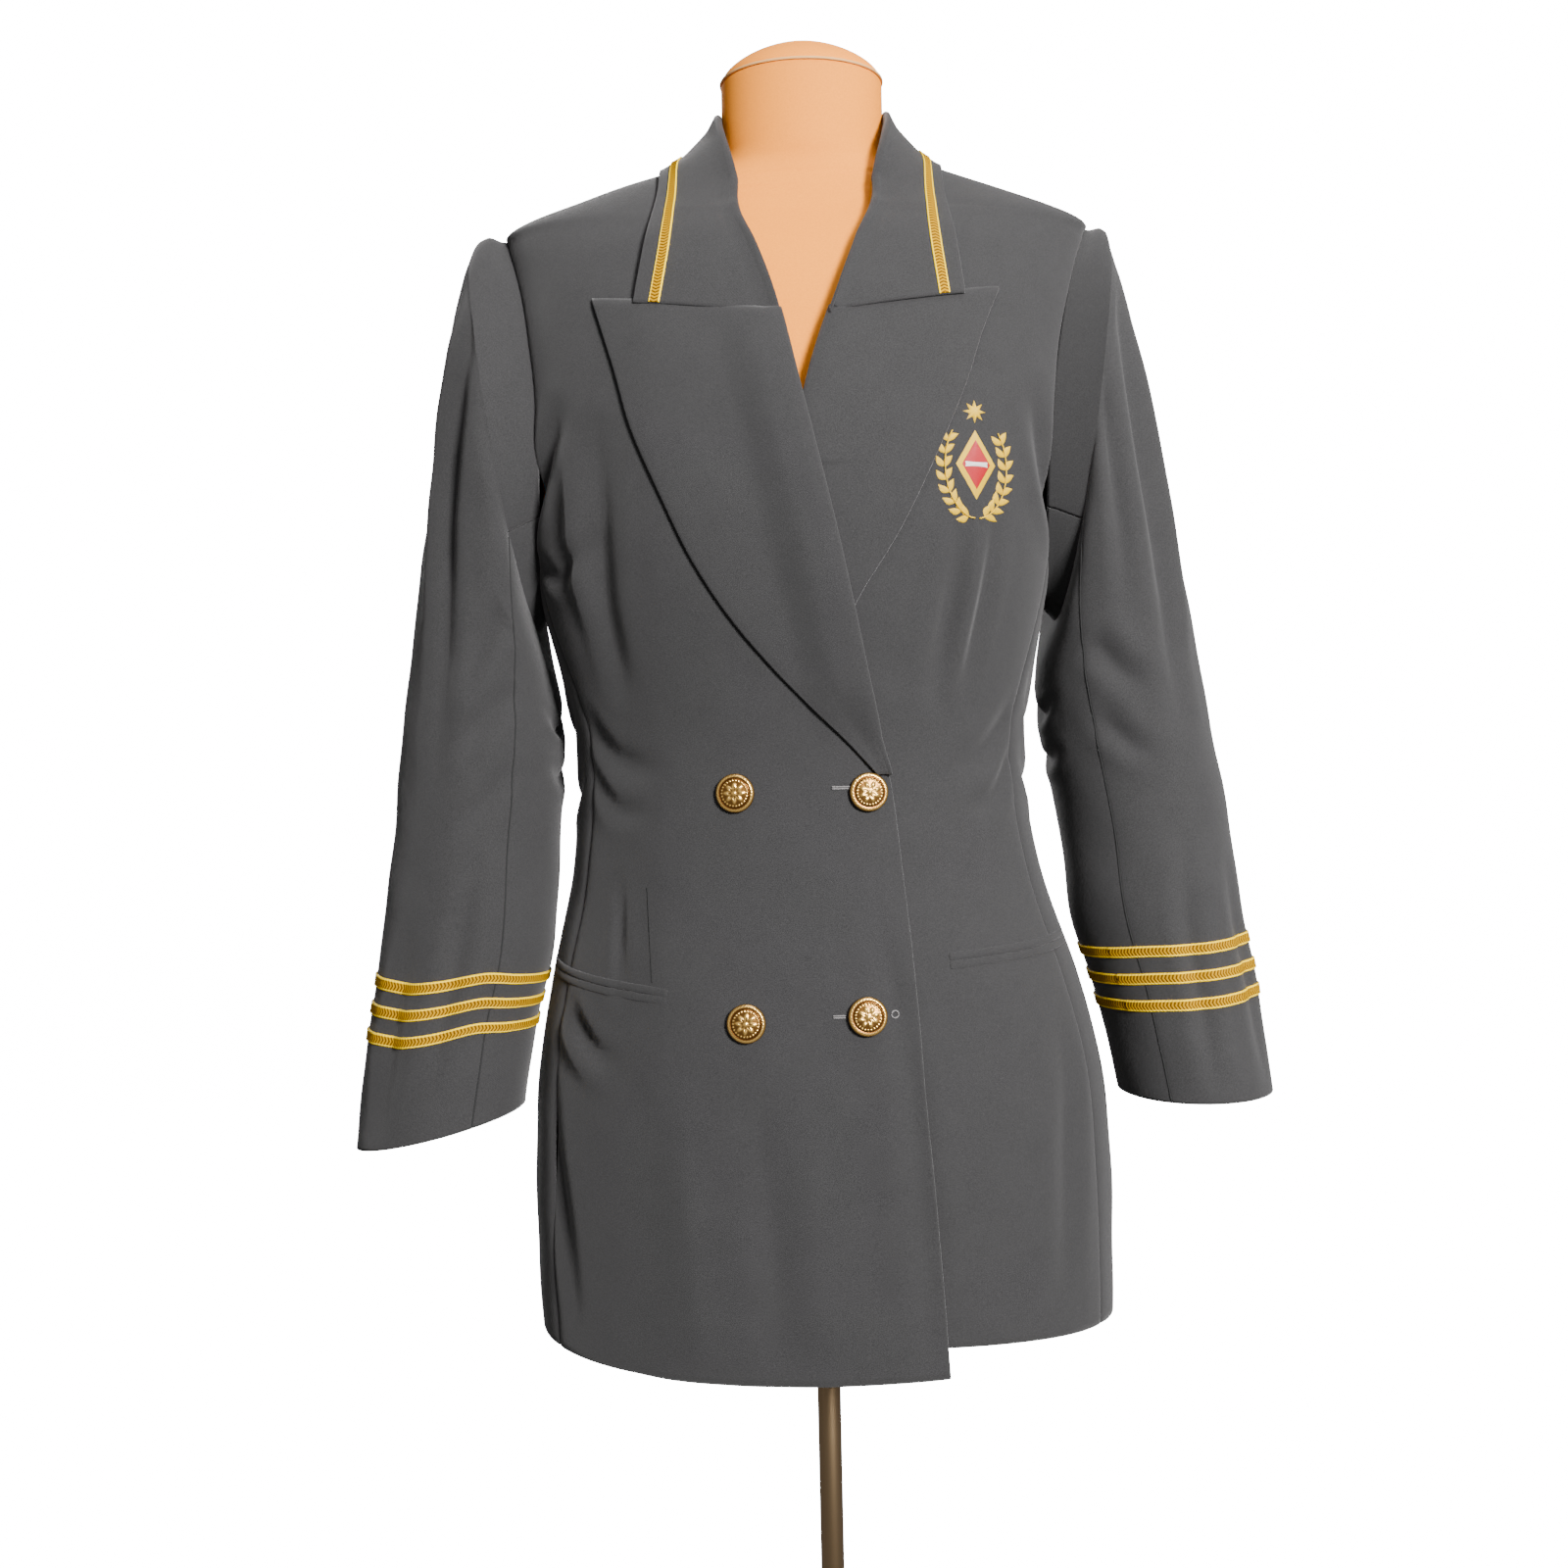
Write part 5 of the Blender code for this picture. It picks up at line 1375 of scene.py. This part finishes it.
def linen_material():
    """The form's plain peach-tan cloth."""
    material, tree, shader = new_material("linen", (0.96, 0.41, 0.07), 0.85)
    place = node(tree, "ShaderNodeTexCoord").outputs["Object"]
    weave = node(tree, "ShaderNodeTexNoise", {"Vector": place, "Scale": 900.0, "Detail": 2.0})
    color = node(tree, "ShaderNodeMapRange", {"Value": weave.outputs[0], "From Min": 0.3, "From Max": 0.7})
    tree.links.new(mixed(tree, color.outputs[0], (0.86, 0.25, 0.0), (0.94, 0.29, 0.0)),
                   shader.inputs["Base Color"])
    bump = node(tree, "ShaderNodeBump", {"Height": weave.outputs[0], "Strength": 0.2, "Distance": 0.0003})
    tree.links.new(bump.outputs[0], shader.inputs["Normal"])
    return material


def area_light(name, place, aim, size, energy, color=(1, 1, 1)):
    """A soft studio light."""
    data = bpy.data.lights.new(name, "AREA")
    data.shape = "RECTANGLE"
    data.size, data.size_y = size
    data.energy = energy
    data.color = color
    item = bpy.data.objects.new(name, data)
    item.location = place
    item.rotation_euler = (Vector(aim) - Vector(place)).to_track_quat("-Z", "Y").to_euler()
    bpy.context.scene.collection.objects.link(item)


def make_studio():
    """The pale seamless floor and wall, the lights and the camera."""
    paper, _, shader = new_material("studio_paper", (0.97, 0.97, 0.97), 0.9)
    shader.inputs["Emission Color"].default_value = (1, 1, 1, 1)
    shader.inputs["Emission Strength"].default_value = 16.0
    turns = np.linspace(0, QUARTER, 12)
    profile = [(0.5, 0.0), (3.0, 0.0)] + [(7.0 + 2.0 * math.sin(t), 2.0 - 2.0 * math.cos(t)) for t in turns]
    profile += [(9.0, 6.0)] + [(9.0 * math.cos(t), 6.0 + 3.0 * math.sin(t)) for t in turns[1:-1]]
    sides = 64
    points, faces = [], [tuple(range(sides))]
    for radius, z in profile:
        for side in range(sides):
            turn = 2 * math.pi * side / sides
            points.append((radius * math.cos(turn), radius * math.sin(turn), z - 0.0003))
    for row in range(len(profile) - 1):
        for side in range(sides):
            after = (side + 1) % sides
            faces.append((row * sides + side, (row + 1) * sides + side,
                          (row + 1) * sides + after, row * sides + after))
    faces.append(tuple((len(profile) - 1) * sides + side for side in range(sides))[::-1])
    floor = add_mesh("studio_floor", points, faces)
    floor.data.materials.append(paper)
    floor.visible_diffuse = False
    floor.visible_glossy = False
    floor.visible_shadow = False
    area_light("key_light", (1.15, -2.35, 1.7), (0, 0, 0.85), (0.6, 0.6), 215)
    area_light("fill_light", (-2.4, -1.6, 1.3), (0, 0, 0.8), (1.4, 2.0), 2)
    area_light("top_light", (0.3, -0.5, 3.0), (0, 0, 0.9), (1.2, 0.8), 24)
    area_light("back_light", (-0.9, 2.7, 1.7), (0, 0, 0.85), (1.4, 1.4), 85)
    world = bpy.data.worlds.new("studio_world")
    world.use_nodes = True
    world.node_tree.nodes["Background"].inputs[0].default_value = (1, 1, 1, 1)
    world.node_tree.nodes["Background"].inputs[1].default_value = 0.25
    bpy.context.scene.world = world
    data = bpy.data.cameras.new("camera")
    data.lens = 36.9
    data.sensor_width = 36
    data.clip_start = 0.05
    camera = bpy.data.objects.new("camera", data)
    camera.location = CAMERA_PLACE
    tilt, roll = math.radians(-1.15), math.radians(1.25)
    forward = Vector((0, math.cos(tilt), math.sin(tilt)))
    up = Vector((math.sin(roll), 0, math.cos(roll)))
    right = forward.cross(up).normalized()
    up = right.cross(forward)
    camera.matrix_world = Matrix(((right.x, up.x, -forward.x, CAMERA_PLACE[0]),
                                  (right.y, up.y, -forward.y, CAMERA_PLACE[1]),
                                  (right.z, up.z, -forward.z, CAMERA_PLACE[2]), (0, 0, 0, 1)))
    bpy.context.scene.collection.objects.link(camera)
    bpy.context.scene.camera = camera


wool = wool_material()
gold = braid_material()
gilt = gilt_material()
linen = linen_material()
seam_thread, _, _ = new_material("seam_thread", (0.70, 0.38, 0.13), 0.8)
bronze, _, _ = new_material("bronze", (0.30, 0.205, 0.115), 0.38, 1.0)
gold_thread = thread_material("gold_thread", (0.86, 0.52, 0.0), 0.0)
red_thread = thread_material("red_thread", (0.50, 0.008, 0.016), 0.0)
white_thread = thread_material("white_thread", (0.85, 0.84, 0.80), 0.0)

# Near-black colour for the lines along the sleeve seams and the waist dart: painted shade in their grooves.
seam_shade_line, _, _ = new_material("seam_shade_line", (0.010, 0.010, 0.010), 0.9)

fronts = make_fronts(wool)
make_backs(wool)
make_sides(wool)
skins = make_sleeves(wool)
make_lapels(wool, fronts)
collar = make_collar(wool)
make_collar_braid(gold, collar)
make_cuff_braids(gold, skins)
make_pockets(wool, fronts)
make_buttons(gilt, fronts)
make_form(linen, seam_thread, bronze)
make_emblem(fronts[1], gold_thread, red_thread, white_thread)
pale_thread, _, _ = new_material("pale_thread", (0.16, 0.15, 0.15), 0.8)
make_stitches(fronts[-1], pale_thread, seam_shade_line)
make_studio()
